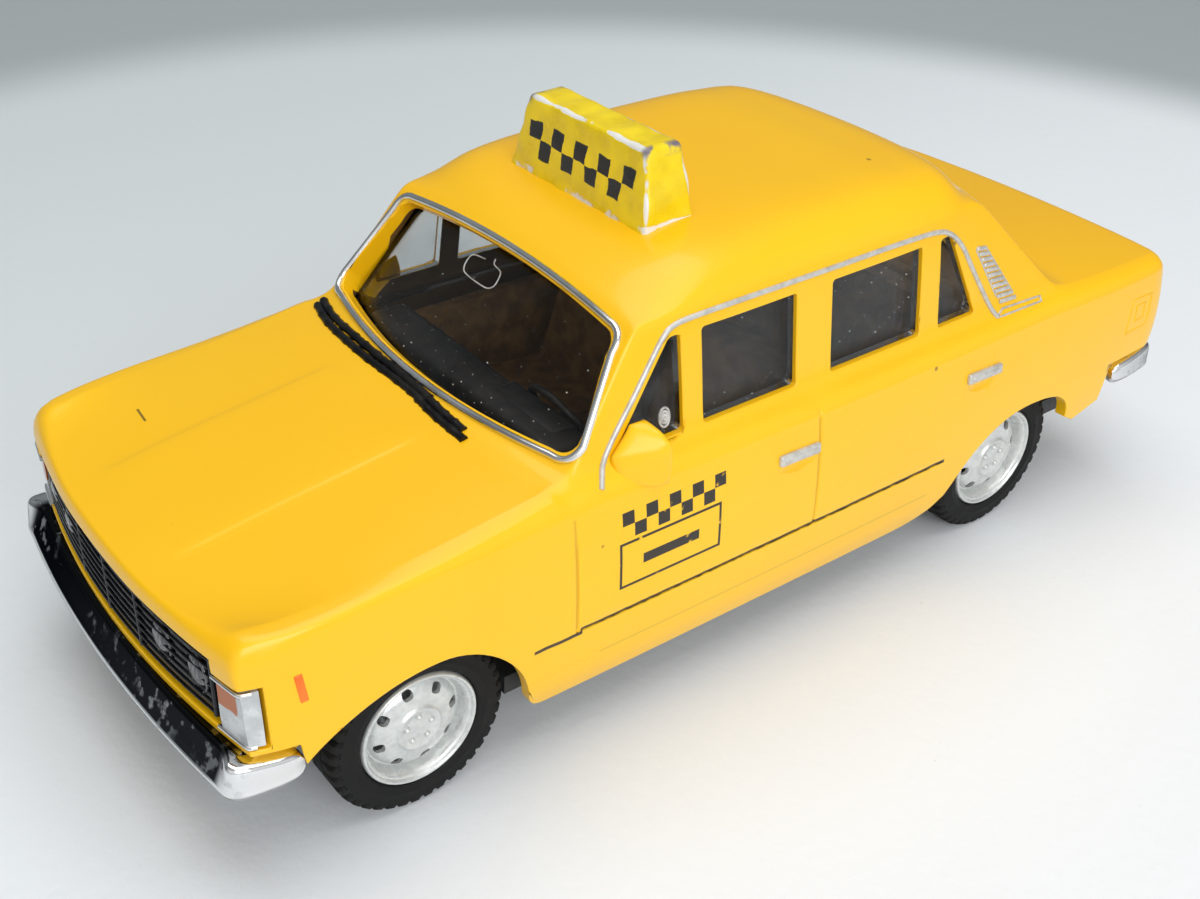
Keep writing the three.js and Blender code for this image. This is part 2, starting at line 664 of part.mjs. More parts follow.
const beltHalfWidthAt = (x) => (halfWidthAt(x) - shoulderInset) * beltShare;
const windscreenOpening = (frame) => screenOpening(
  new THREE.Vector3(cowlX, 0, hoodCowlZ),
  new THREE.Vector3(cowlX - cowlBow, beltHalfWidthAt(cowlX - cowlBow), beltFrontZ),
  new THREE.Vector3(screenTopX, 0, dripFrontZ + screenCrown),
  new THREE.Vector3(screenTopX + screenTopBow, dripFrontHalfWidth, dripFrontZ),
  frame,
);
const backlightOpening = (frame) => screenOpening(
  new THREE.Vector3(rearBaseX, 0, trunkFrontZ),
  new THREE.Vector3(rearBaseX + rearBaseBow, beltHalfWidthAt(rearBaseX + rearBaseBow), beltRearZ),
  new THREE.Vector3(rearTopX, 0, dripRearZ + screenCrown),
  new THREE.Vector3(rearTopX + rearTopBow, dripRearHalfWidth, dripRearZ),
  frame,
);

// Four windows a side: vent, front door, rear door and a three-cornered quarter window
const ventX = frontAxleX - ventRearSetback;
const frontDoorX = frontAxleX - frontDoorWindowSetback;
const rearDoorX = rearAxleX + rearDoorWindowAdvance;
const quarterX = rearAxleX + quarterWindowAdvance;
const windowOutlines = [
  [[ventX, windowSillZ], [frontAxleX - ventFrontSetback, windowSillZ],
    [ventX + ventTopLength, windowHeadZ], [ventX, windowHeadZ]],
  [[frontDoorX - frontDoorWindowLength, windowSillZ], [frontDoorX, windowSillZ],
    [frontDoorX, windowHeadZ], [frontDoorX - frontDoorWindowLength, windowHeadZ]],
  [[rearDoorX - rearDoorWindowLength, windowSillZ], [rearDoorX, windowSillZ],
    [rearDoorX, windowHeadZ], [rearDoorX - rearDoorWindowLength, windowHeadZ]],
  [[quarterX - quarterWindowLength, windowSillZ], [quarterX, windowSillZ],
    [quarterX, windowHeadZ], [quarterX - quarterTopLength, windowHeadZ]],
];

// Raised trim cast with the body: drip rails, handles, pillar louvres, screen surround and wipers
const dripFootX = frontAxleX - dripFootSetback;
const dripBendX = frontAxleX - dripBendSetback;
const dripFootZ = shoulderZ + 1;
const dripBendZ = dripZ - 1.5;
const dripLine = [
  [dripFootX, dripFootZ], [lerp(dripFootX, dripBendX, 0.55), lerp(dripFootZ, dripBendZ, 0.55)],
  [dripBendX, dripBendZ], [dripBendX - cowlBow, dripZ - 0.75],
  [0, dripZ - 0.65], [rearTopX + 4.9 * rearTopBow, dripRearZ - 0.6],
  [rearTopX + 2.9 * rearTopBow, lerp(beltRearZ, dripRearZ, 0.71)],
  [rearTopX + 1.2 * rearTopBow, lerp(beltRearZ, dripRearZ, 0.24)], [rearTopX, beltRearZ - 0.3],
];
const beltBarLine = [[rearTopX + dripRailHeight, beltRearZ - 0.35], [rearBaseX + 2.9 * rearBaseBow, beltRearZ - 0.35]];
const cowlLine = (y) => [cowlX + wiperAhead - cowlBow * (y / beltHalfWidthAt(cowlX)) ** 2, y];
const wiperBar = (y0) => planPrism(
  strip([cowlLine(y0), cowlLine(y0 + wiperLength / 2), cowlLine(y0 + wiperLength)], wiperWidth),
  hoodCowlZ - 2 * bodyWall, hoodCowlZ + 1.5 * detailProud,
);
const louvres = Array.from({ length: louvreCount }, (_, i) => {
  const share = i / (louvreCount - 1);
  const x = rearAxleX + lerp(louvreTopAdvance, louvreBottomAdvance, share);
  const z = lerp(louvreTopZ, louvreBottomZ, share);
  return block(x - louvreLength / 2, x + louvreLength / 2, -carLength, carLength, z - louvreHeight / 2, z + louvreHeight / 2);
});
const handles = [frontAxleX - frontHandleSetback, rearAxleX + rearHandleAdvance].map((x) => block(
  x - handleLength / 2, x + handleLength / 2, -carLength, carLength, handleZ - handleHeight / 2, handleZ + handleHeight / 2,
));
const details = [
  sidePrism(strip(dripLine, dripRailHeight), -carLength, carLength),
  sidePrism(strip(beltBarLine, dripRailHeight), -carLength, carLength),
  windscreenOpening(screenFrame - screenTrimWidth),
  wiperBar(-beltHalfWidthAt(cowlX) + wiperAhead),
  wiperBar(0),
  ...louvres,
  ...handles,
];

// Door mirrors: one cast wedge a side, its front face swept back and its top falling outwards
function doorMirror(side) {
  const x = frontAxleX - mirrorSetback;
  const outerTopZ = mirrorTopZ - mirrorDrop;
  const back = 0.5 * mirrorLength;
  return hull([
    [x + mirrorRake, mirrorInnerY, mirrorTopZ - 0.4 * mirrorDrop],
    [x + 2 * mirrorRake, lerp(mirrorInnerY, mirrorOuterY, 0.4), mirrorBottomZ + mirrorDrop],
    [x, mirrorOuterY, outerTopZ - 0.8 * mirrorDrop],
    [x - 0.2 * mirrorRake, mirrorOuterY, mirrorBottomZ],
    [x - 0.2 * mirrorRake, mirrorInnerY, mirrorTopZ],
    [x - back, mirrorOuterY, outerTopZ],
    [x - back, mirrorInnerY, mirrorBottomZ],
    [x - back, mirrorOuterY, mirrorBottomZ],
  ].map(([a, b, c]) => [a, side * b, c]));
}

// Body casting
const posts = [frontAxleX + frontPostReach, rearAxleX - rearPostReach];
const screwTipZ = baseBottomZ + screwSink + screwLength;
const notchDepth = 4 * lampDepth;
const grilleOpeningHalf = grilleHalfWidth + clearance / 2;
const cornerLampX = frontAxleX + cornerLampSetback;
const cornerLampSpace = (side, gap) => {
  const ys = [side * (grilleHalfWidth + gap), side * carLength].sort((a, b) => a - b);
  return block(cornerLampX + gap, carLength, ...ys, cornerLampBottomZ + gap, cornerLampTopZ - gap);
};
const tailLampSpace = (side, gap) => {
  const ys = [side * (tailLampInnerY + gap), side * (tailLampOuterY - gap)].sort((a, b) => a - b);
  const halfHeight = tailLampHalfHeight - gap;
  return block(-carLength, tailX + notchDepth, ...ys, tailLampZ - halfHeight, tailLampZ + halfHeight);
};
const pegHole = (x, z) => (y) => rod('x', bumperPegRadius + clearance, 4 * bumperPegLength, 10, x, y, z);

let casting = skin.subtract(steps).add(steppedSkin.intersect(steps));
for (const detail of details) casting = casting.add(raisedSkin.intersect(detail));
casting = casting.subtract(cavity).subtract(underside);
for (const x of posts) {
  const post = rod('z', postRadius, carLength, 14, x, 0, baseTopZ + clearance + carLength / 2);
  casting = casting.add(post.intersect(skin));
  const boreBottomZ = baseTopZ - clearance;
  const bore = screwTipZ + clearance - boreBottomZ;
  casting = casting.subtract(rod('z', screwRadius + clearance, bore, 12, x, 0, boreBottomZ + bore / 2));
}
casting = casting
  .subtract(windscreenOpening(screenFrame))
  .subtract(backlightOpening(backlightFrame))
  .subtract(block(noseX - notchDepth, carLength, -grilleOpeningHalf, grilleOpeningHalf, grilleBottomZ, grilleTopZ));
for (const outline of windowOutlines) {
  casting = casting.subtract(sidePrism(roundedPolygon(outline, windowCornerRadius), -carLength, carLength, 2));
}
for (const [, side] of sides) {
  casting = casting.add(doorMirror(side).subtract(cavity));
  casting = casting.subtract(cornerLampSpace(side, 0)).subtract(tailLampSpace(side, 0));
  casting = casting.subtract(pegHole(noseX, frontBumperZ)(side * bumperPegY));
  casting = casting.subtract(pegHole(tailX, rearBumperZ)(side * bumperPegY));
}
addPart('body_shell', casting, yellowPaint);

// Lamps let into the corners of the nose and into the tail, shaped to the face around them
const lampBack = bodySkin(lampDepth, insideGrid);
for (const [sideName, side] of sides) {
  addPart(`corner_lamp_${sideName}`, skin.intersect(cornerLampSpace(side, clearance)).subtract(lampBack), lampGrey);
  addPart(`tail_lamp_${sideName}`, skin.intersect(tailLampSpace(side, clearance)).subtract(lampBack), lampRed);
}

// Grille: a plate bowed like the nose, with bars across and round holes for four headlamps
const grilleMiddleZ = (grilleBottomZ + grilleTopZ) / 2;
const grilleFaceX = noseX - frontSetbackAt(grilleMiddleZ) - grilleRecess;
const grilleBowAt = (y) => noseBow * (y / endHalfWidth) ** 2;
const grilleBarHalfLength = headlampInnerY - headlampRadius - 2 * clearance;
function grilleBand(half, faceX, thickness, z0, z1) {
  const bow = grilleBowAt(half);
  const outline = new THREE.Shape();
  outline.moveTo(faceX - bow, -half);
  outline.quadraticCurveTo(faceX + bow, 0, faceX - bow, half);
  outline.lineTo(faceX - bow - thickness, half);
  outline.quadraticCurveTo(faceX + bow - thickness, 0, faceX - bow - thickness, -half);
  return planPrism(outline, z0, z1, 6);
}

let grille = grilleBand(grilleHalfWidth - clearance, grilleFaceX, grilleDepth,
  grilleBottomZ + clearance, grilleTopZ - clearance);
const barPitch = (grilleTopZ - grilleBottomZ - 2 * clearance) / grilleBarCount;
for (let i = 0; i < grilleBarCount; i += 1) {
  const z = grilleBottomZ + clearance + (i + 0.5) * barPitch;
  grille = grille.add(grilleBand(grilleBarHalfLength, grilleFaceX + grilleBarProud, grilleBarProud + grilleDepth / 2,
    z - grilleBarHeight / 2, z + grilleBarHeight / 2));
}
const headlamps = [['outer', headlampOuterY], ['inner', headlampInnerY]];
const headlampProfile = [
  [0, 0], [headlampRadius, 0], [headlampRadius, headlampDepth],
  [0.75 * headlampRadius, headlampDepth + 0.7 * headlampDome], [0, headlampDepth + headlampDome],
];
for (const [sideName, side] of sides) {
  for (const [place, y] of headlamps) {
    const x = grilleFaceX - grilleBowAt(y) - grilleDepth;
    grille = grille.subtract(rod('x', headlampRadius + clearance, 8 * grilleDepth, 14, x, side * y, grilleMiddleZ));
    const lamp = turned(headlampProfile, 14).rotateZ(-Math.PI / 2).translate(x, side * y, grilleMiddleZ);
    addPart(`headlamp_${sideName}_${place}`, toSolid(lamp), lampGrey);
  }
}
addPart('front_grille', grille, blackPlastic);

// Bumpers: one leaning section carried round the end of the car, upright at its wrapped ends, with two pegs
function bumper(end, endX, wrapX, z, height) {
  const centre = endX - bumperDepth / 2;
  const side = bumperHalfWidth - bumperDepth / 2;
  const bowAt = (y) => centre - bumperBow * (y / side) ** 2;
  const half = [
    [wrapX, side], [lerp(wrapX, bowAt(side), 0.45), side], [bowAt(side) - 0.35 * bumperDepth, 0.955 * side],
    [bowAt(0.84 * side), 0.84 * side], [bowAt(0.45 * side), 0.45 * side],
  ];
  const points = [...half, [centre, 0], ...half.map(([x, y]) => [x, -y]).reverse()];
  const path = new THREE.CatmullRomCurve3(points.map(([x, y]) => new THREE.Vector3(end * x, end * y, z)));
  const h = height / 2;
  const d = bumperDepth / 2;
  const section = polygon([
    [-h, -d], [h, -d], [h, 0.4 * d], [0.8 * h, 0.8 * d], [0.5 * h, d], [-0.45 * h, 0.2 * d], [-h, -0.6 * d],
  ]);
  const run = new THREE.ExtrudeGeometry(section, { steps: 22, bevelEnabled: false, extrudePath: path });
  const places = run.attributes.position;
  for (let i = 0; i < places.count; i += 1) {
    const y = places.getY(i);
    const rise = (places.getZ(i) - z) / height + 0.5;
    places.setY(i, y + Math.sign(y) * 0.75 * bumperDepth * rise * smoothstep(Math.abs(y), 0.88 * side, side));
  }
  let bar = toSolid(run);
  for (const [, y] of sides) {
    const x = bowAt(bumperPegY) - bumperPegLength / 2;
    bar = bar.add(rod('x', bumperPegRadius, bumperPegLength, 10, end * x, y * bumperPegY, z));
  }
  return bar;
}

const frontBar = bumper(1, carLength / 2, frontAxleX + frontBumperSetback, frontBumperZ, frontBumperHeight);
const rearBar = bumper(-1, carLength / 2, rearBumperSetback - rearAxleX, rearBumperZ, rearBumperHeight);
addPart('front_bumper', frontBar, plated);
addPart('rear_bumper', rearBar, plated);

// Wheels: a dished pressed rim with holes round the disc, and a tyre with rounded shoulders
const rimBackY = rimDish + rimDiscThickness;
const boreRadius = axleRadius + clearance;
const rimProfile = [
  [0, -rimBackY - clearance], [boreRadius, -rimBackY - clearance], [boreRadius, -hubDepth], [hubRadius, -hubDepth],
  [hubRadius, -rimBackY], [rimRadius - rimWall, -rimBackY], [rimRadius - rimWall, rimWall - tyreWidth],
  [rimRadius, rimWall - tyreWidth], [rimRadius, -0.2 * rimDish], [rimRadius - 0.6 * rimWall, -0.15 * rimDish],
  [rimRadius - 1.2 * rimWall, -rimDish], [hubRadius, -0.6 * rimDish], [0.8 * hubRadius, -0.35 * rimDish],
  [0, -0.35 * rimDish],
];
const beadRadius = rimRadius + clearance;
const tread = tyreRadius - beadRadius;
const tyreProfile = [
  [beadRadius, -0.93 * tyreWidth], [beadRadius + 0.4 * tread, -tyreWidth], [beadRadius + 0.8 * tread, -0.96 * tyreWidth],
  [tyreRadius, -0.82 * tyreWidth], [tyreRadius, -0.18 * tyreWidth], [beadRadius + 0.8 * tread, -0.04 * tyreWidth],
  [beadRadius + 0.4 * tread, 0], [beadRadius, -0.07 * tyreWidth], [beadRadius, -0.93 * tyreWidth],
];
let rim = toSolid(turned(rimProfile, 14));
for (let i = 0; i < rimHoleCount; i += 1) {
  const hole = new THREE.BoxGeometry(rimHoleSize, 4 * rimDish, rimHoleSize);
  hole.translate(0, -rimDish - clearance, rimHoleCircle).rotateY(2 * Math.PI * i / rimHoleCount);
  rim = rim.subtract(toSolid(hole));
}
const rimGeometry = toGeometry(rim);
const tyreGeometry = toGeometry(toSolid(turned(tyreProfile, 20)));
for (const [endName, x] of axles) {
  for (const [sideName, side] of sides) {
    const turn = side > 0 ? 0 : Math.PI;
    const place = (geometry) => geometry.clone().rotateZ(turn).translate(x, side * tyreFaceY, tyreRadius);
    addPart(`rim_${endName}_${sideName}`, place(rimGeometry), brightMetal);
    addPart(`tyre_${endName}_${sideName}`, place(tyreGeometry), blackRubber);
  }
  addPart(`axle_${endName}`, rod('y', axleRadius, 2 * axleEndY, 14, x, 0, tyreRadius), brightMetal);
}

// Base: a plate cut back round the wheels, with bored ears that carry the axles and sunk holes for the screws
const baseFrontX = frontAxleX + baseFrontReach;
const baseRearX = rearAxleX - baseRearReach;
const endChamfer = 0.1 * baseEndHalfWidth;
const baseHalf = [
  [baseFrontX, baseEndHalfWidth - endChamfer], [baseFrontX - endChamfer, baseEndHalfWidth],
  [frontAxleX + wellHalfLength, baseEndHalfWidth], [frontAxleX + wellHalfLength, railY],
  [frontAxleX - wellHalfLength, railY], [frontAxleX - wellHalfLength, baseHalfWidth],
  [rearAxleX + wellHalfLength, baseHalfWidth], [rearAxleX + wellHalfLength, railY],
  [rearAxleX - wellHalfLength, railY], [rearAxleX - wellHalfLength, baseEndHalfWidth],
  [baseRearX + endChamfer, baseEndHalfWidth], [baseRearX, baseEndHalfWidth - endChamfer],
];
const basePlan = polygon([...baseHalf, ...baseHalf.map(([x, y]) => [x, -y]).reverse()]);
let base = planPrism(basePlan, baseBottomZ, baseTopZ);
for (const [, x] of axles) {
  for (const [, side] of sides) {
    const y = side * earY;
    base = base.add(block(x - earHalfLength, x + earHalfLength, y - earThickness / 2, y + earThickness / 2,
      baseBottomZ + baseThickness / 2, tyreRadius + boreRadius + earWall));
  }
  base = base.subtract(block(x - boreRadius, x + boreRadius, earThickness / 2 - earY, earY - earThickness / 2,
    tyreRadius - boreRadius, tyreRadius + boreRadius));
  base = base.subtract(rod('y', boreRadius, carLength, 12, x, 0, tyreRadius));
}
const sinkDepth = screwSink + screwHeadHeight + clearance;
for (const x of posts) {
  base = base.subtract(rod('z', screwHeadRadius + clearance, 2 * sinkDepth, 16, x, 0, baseBottomZ));
  base = base.subtract(rod('z', screwRadius + clearance, 4 * baseThickness, 12, x, 0, baseTopZ));
}
addPart('base_plate', base, blackPlastic);

const screwProfile = [
  [0, 0], [screwHeadRadius, 0], [screwHeadRadius, screwHeadHeight],
  [screwRadius, screwHeadHeight], [screwRadius, screwLength], [0, screwLength],
];
posts.forEach((x, i) => {
  const screwZ = baseBottomZ + screwSink;
  let screw = toSolid(turned(screwProfile, 12).rotateX(Math.PI / 2).translate(x, 0, screwZ));
  const slotEndZ = screwZ + screwSlotDepth;
  const [long, short] = [0.7 * screwHeadRadius, 0.15 * screwHeadRadius];
  screw = screw.subtract(block(x - long, x + long, -short, short, 0, slotEndZ));
  screw = screw.subtract(block(x - short, x + short, -long, long, 0, slotEndZ));
  addPart(`base_screw_${axles[i][0]}`, screw, brightMetal);
});

// Interior: a floor tray with door sides, two front seats and a rear bench moulded in one
const tubBottomZ = baseTopZ + clearance;
const tubFloorZ = tubBottomZ + tubFloor;
const tubFrontX = frontAxleX - tubFrontSetback;
const tubNarrowX = rearAxleX + wellHalfLength;
const tubRearX = rearAxleX + earHalfLength + wheelRoom;
const dashFrontX = tubFrontX + tubWall / 2;
const dashRearX = dashFrontX - dashDepth;
const dashBottomZ = dashTopZ - dashHeight;
function seat(backX, y, width) {
  const foot = tubBottomZ + tubFloor / 2;
  const outline = polygon([
    [backX + seatLength, foot], [backX + seatLength, seatHipZ], [backX + 0.1 * seatLength, seatHipZ - 0.6],
    [backX - seatRake, seatTopZ], [backX - seatRake - seatBackThickness, seatTopZ],
    [backX - seatBackThickness, seatHipZ], [backX - seatBackThickness, foot],
  ]);
  return sidePrism(outline, y - width / 2, y + width / 2);
}

const tubHalf = [
  [tubFrontX, tubHalfWidth], [tubNarrowX, tubHalfWidth], [tubNarrowX, railY], [tubRearX, railY],
];
let tub = planPrism(polygon([...tubHalf, ...tubHalf.map(([x, y]) => [x, -y]).reverse()]), tubBottomZ, tubFloorZ)
  .add(block(tubFrontX - tubWall, tubFrontX, -tubHalfWidth, tubHalfWidth, tubBottomZ, dashBottomZ - clearance))
  .add(seat(rearAxleX + rearSeatAdvance, 0, benchWidth));
for (const [, side] of sides) {
  const y = side * (tubHalfWidth - tubWall / 2);
  tub = tub.add(block(tubNarrowX, tubFrontX, y - tubWall / 2, y + tubWall / 2, tubBottomZ, dashBottomZ - clearance));
  tub = tub.add(block(tubNarrowX, dashRearX - tubWall, y - tubWall / 2, y + tubWall / 2, tubBottomZ, tubWallZ));
  tub = tub.add(seat(frontAxleX - frontSeatSetback, side * seatY, seatWidth));
}
addPart('interior_tub', tub, darkPlastic);

// Dashboard with a hood over the dials, and the steering wheel on its short column
const dashOutline = polygon([
  [dashFrontX, dashBottomZ], [dashFrontX, dashTopZ - 0.1 * dashHeight], [dashFrontX - 0.15 * dashDepth, dashTopZ],
  [dashRearX + 0.15 * dashDepth, dashTopZ], [dashRearX, dashTopZ - 0.2 * dashHeight],
  [dashRearX + 0.3 * dashDepth, dashBottomZ],
]);
const binnacle = block(dashRearX + 0.3 * dashDepth, dashFrontX - 0.35 * dashDepth, steeringY - binnacleWidth / 2,
  steeringY + binnacleWidth / 2, dashTopZ - 0.1 * dashHeight, dashTopZ + binnacleHeight);
addPart('dashboard', sidePrism(dashOutline, -dashHalfWidth, dashHalfWidth).add(binnacle), darkPlastic);

const columnReach = (steeringGap - clearance - columnRadius * Math.sin(steeringRake)) / Math.cos(steeringRake);
const steeringPieces = [
  new THREE.TorusGeometry(steeringRadius, steeringTube, 5, 16).rotateY(Math.PI / 2),
  new THREE.BoxGeometry(steeringTube, 2 * steeringRadius, 2 * steeringTube),
  new THREE.BoxGeometry(steeringTube, 2 * steeringTube, steeringRadius).translate(0, 0, -steeringRadius / 2),
  new THREE.CylinderGeometry(columnRadius, columnRadius, columnReach + steeringTube, 8).rotateZ(Math.PI / 2)
    .translate((columnReach - steeringTube) / 2, 0, 0),
];
const steering = steeringPieces
  .map((piece) => toSolid(piece.rotateY(steeringRake).translate(dashRearX - steeringGap, steeringY, steeringZ)))
  .reduce((sum, piece) => sum.add(piece));
addPart('steering_wheel', steering, darkPlastic);

// Glazing: one clear shell inside the roof and pillars, with a moulded mirror behind the windscreen
const glassOuter = bodyWall + clearance;
const glassInner = glassOuter + glassThickness;
const glassInside = bodySkin(glassInner, insideGrid);
const aboveBelt = block(-carLength, carLength, -carLength, carLength, glassBottomZ, carLength);
const mirrorLug = glassInside.subtract(bodySkin(glassInner + mirrorLugDepth, insideGrid)).intersect(block(
  0, cowlX, -mirrorLugWidth / 2, mirrorLugWidth / 2, mirrorLugZ - mirrorLugHeight / 2, mirrorLugZ + mirrorLugHeight / 2,
));
const glazing = bodySkin(glassOuter, insideGrid).intersect(aboveBelt).subtract(glassInside).add(mirrorLug);
addPart('window_glazing', glazing, clearPlastic);

// Roof sign: a tapered block whose underside follows the roof
const signX = frontAxleX - signSetback;
const signCorners = [];
for (const [z, depth, length] of [
  [signFootZ - roofRise, signDepth, signLength], [signFootZ, signDepth, signLength], [signTopZ, signTopDepth, signTopLength],
]) {
  for (const end of [-0.5, 0.5]) signCorners.push([signX + end * depth, length / 2, z], [signX + end * depth, -length / 2, z]);
}
addPart('roof_sign', hull(signCorners).subtract(bodySkin(-clearance, outsideGrid)), lemonPaint);

export default group;
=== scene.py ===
from math import atan2, cos, pi, radians, sin
import bmesh
import bpy
from mathutils import Matrix, Vector
from mathutils.bvhtree import BVHTree


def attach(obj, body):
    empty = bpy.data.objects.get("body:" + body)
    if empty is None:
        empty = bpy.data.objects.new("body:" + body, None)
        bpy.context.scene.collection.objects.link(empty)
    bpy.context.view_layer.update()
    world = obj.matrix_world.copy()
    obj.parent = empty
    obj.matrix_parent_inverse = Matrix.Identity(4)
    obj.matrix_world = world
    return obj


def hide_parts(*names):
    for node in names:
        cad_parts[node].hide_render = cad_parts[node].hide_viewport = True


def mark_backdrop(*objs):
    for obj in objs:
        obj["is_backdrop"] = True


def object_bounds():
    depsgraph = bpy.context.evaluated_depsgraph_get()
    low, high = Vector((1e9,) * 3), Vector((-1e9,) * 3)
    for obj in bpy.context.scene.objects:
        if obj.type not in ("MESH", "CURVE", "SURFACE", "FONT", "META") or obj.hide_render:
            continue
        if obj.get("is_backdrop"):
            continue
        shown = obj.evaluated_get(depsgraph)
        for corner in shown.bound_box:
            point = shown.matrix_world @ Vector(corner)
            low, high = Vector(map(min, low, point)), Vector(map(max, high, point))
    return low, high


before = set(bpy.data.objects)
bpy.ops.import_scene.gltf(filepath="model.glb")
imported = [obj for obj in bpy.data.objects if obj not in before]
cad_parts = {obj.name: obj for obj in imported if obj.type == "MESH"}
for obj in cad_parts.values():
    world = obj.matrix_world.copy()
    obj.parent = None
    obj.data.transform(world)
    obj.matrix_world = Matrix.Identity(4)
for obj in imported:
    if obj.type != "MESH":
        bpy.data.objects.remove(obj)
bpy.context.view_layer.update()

# Studio: a round pale table top, painted lighter towards the camera as painted light and darker past its rim, with a
# pale backdrop behind it, one wide soft lamp over the car and one beside the camera, which looks at the car's left
# front corner. The room is dim and brighter on the camera's side.
scene = bpy.context.scene
scene.view_settings.view_transform = "Standard"
mm = 0.001

azimuth, elevation, roll = radians(144.282), radians(33.452), radians(0.702)
back = Vector((sin(azimuth) * cos(elevation), -cos(azimuth) * cos(elevation), sin(elevation)))
right = (-back).cross(Vector((0, 0, 1))).normalized()
up = right.cross(-back)
across = cos(roll) * right + sin(roll) * up
upright = cos(roll) * up - sin(roll) * right
view = bpy.data.cameras.new("studio_camera")
view.sensor_width, view.lens, view.clip_start = 36, 44.064, 0.005
view.shift_x, view.shift_y = 0.0665, 0.0043
camera = bpy.data.objects.new("studio_camera", view)
camera.matrix_world = Matrix((across, upright, back)).transposed().to_4x4()
camera.location = (0.069491, 0.080088, 0.077809)
scene.collection.objects.link(camera)
scene.camera = camera


def lamp(name, size, watts, place, target):
    data = bpy.data.lights.new(name, "AREA")
    data.shape, data.energy = "RECTANGLE", watts
    data.size, data.size_y = size
    soft_box = bpy.data.objects.new(name, data)
    soft_box.location = place
    soft_box.rotation_euler = (Vector(target) - Vector(place)).to_track_quat("-Z", "Y").to_euler()
    scene.collection.objects.link(soft_box)
    return soft_box


class Graph:
    def __init__(self, tree):
        self.tree = tree

    def feed(self, value, socket):
        if isinstance(value, bpy.types.NodeSocket):
            self.tree.links.new(value, socket)
        else:
            socket.default_value = (*value, 1) if socket.type == "RGBA" else value

    def node(self, kind, values=None, **settings):
        made = self.tree.nodes.new(kind)
        for name, value in settings.items():
            setattr(made, name, value)
        for socket, value in (values or {}).items():
            self.feed(value, made.inputs[socket])
        return made

    def math(self, operation, a, b=0.0, clamp=False):
        return self.node("ShaderNodeMath", {0: a, 1: b}, operation=operation, use_clamp=clamp).outputs[0]

    def times(self, first, *rest):
        for value in rest:
            first = self.math("MULTIPLY", first, value)
        return first

    def spread(self, value, low, high, to_low=0.0, to_high=1.0):
        values = {0: value, 1: low, 2: high, 3: to_low, 4: to_high}
        return self.node("ShaderNodeMapRange", values, interpolation_type="SMOOTHSTEP").outputs[0]

    def mixed(self, share, a, b):
        return self.node("ShaderNodeMix", {0: share, 6: a, 7: b}, data_type="RGBA").outputs[2]

    def put(self, group, **values):
        return self.node("ShaderNodeGroup", values, node_tree=group.tree).outputs


class Finish(Graph):
    def __init__(self, name, **plain):
        self.material = bpy.data.materials.new(name)
        self.material.use_nodes = True
        super().__init__(self.material.node_tree)
        self.shader = self.tree.nodes["Principled BSDF"].inputs
        for socket, value in plain.items():
            self.feed(value, self.shader[socket.replace("_", " ")])
        self.place = self.tree.nodes.new("ShaderNodeTexCoord").outputs["Object"]

    def cloud(self, scale, **values):
        return self.put(cloudy_tone, Place=self.place, Scale=scale, **values)

    def spot(self):
        return self.put(millimetres, Place=self.place)

    def band(self, along, start, end, up, foot, head, soft=0.05):
        sides = {"Along": along, "Start": start, "End": end, "Up": up, "Foot": foot, "Head": head}
        return self.put(painted_patch, **sides, Soft=soft)["Mask"]

    def chequers(self, along, start, up, foot, square):
        return self.put(chequer_print, Along=along, Start=start, Up=up, Foot=foot, Square=square)["Mask"]

    def specks(self, scale, size, rarity):
        return self.put(fine_specks, Place=self.place, Scale=scale, Size=size, Rarity=rarity)["Mask"]

    def colour(self, share, a, b):
        self.feed(self.mixed(share, a, b), self.shader["Base Color"])

    def rough(self, value, smooth, dull, low=0.3, high=0.7):
        self.feed(self.spread(value, low, high, smooth, dull), self.shader["Roughness"])

    def bump(self, height, strength, distance=0.0001):
        bumps = self.node("ShaderNodeBump", {"Height": height, "Strength": strength, "Distance": distance})
        self.feed(bumps.outputs[0], self.shader["Normal"])

    def clouded(self, scale, dark, light, sheen=None, bump=None, **values):
        tone = self.cloud(scale, **values)
        self.colour(tone["Share"], dark, light)
        if sheen:
            self.rough(tone["Height"], *sheen)
        if bump:
            self.bump(tone["Height"], bump)
        return self


def effect(name, inputs, outputs):
    group = bpy.data.node_groups.new(name, "ShaderNodeTree")
    for socket, value in inputs.items():
        kind = "NodeSocketVector" if value is None else "NodeSocketFloat"
        made = group.interface.new_socket(name=socket, in_out="INPUT", socket_type=kind)
        if value is not None:
            made.default_value = value
    for socket in outputs:
        group.interface.new_socket(name=socket, in_out="OUTPUT", socket_type="NodeSocketFloat")
    return Graph(group), group.nodes.new("NodeGroupInput").outputs, group.nodes.new("NodeGroupOutput").inputs


cloudy_tone, given, result = effect(
    "cloudy_tone", {"Place": None, "Scale": 100.0, "Detail": 3.0, "Low": 0.3, "High": 0.7}, ["Share", "Height"])
noise = {"Vector": given["Place"], "Scale": given["Scale"], "Detail": given["Detail"]}
cloud = cloudy_tone.node("ShaderNodeTexNoise", noise).outputs[0]
cloudy_tone.feed(cloud, result["Height"])
cloudy_tone.feed(cloudy_tone.spread(cloud, given["Low"], given["High"]), result["Share"])

millimetres, given, result = effect("millimetres", {"Place": None}, ["X", "Y", "Z"])
split = millimetres.node("ShaderNodeSeparateXYZ", {0: given["Place"]})
for axis in "XYZ":
    millimetres.feed(millimetres.times(split.outputs[axis], 1000.0), result[axis])


def patch(bm, across, along, place):
    size = (len(across) - 1, len(along) - 1)
    for vert in bmesh.ops.create_grid(bm, x_segments=size[0], y_segments=size[1], size=1)["verts"]:
        u = across[round((vert.co.x + 1) / 2 * size[0])]
        v = along[round((vert.co.y + 1) / 2 * size[1])]
        vert.co = mm * place(u, v)


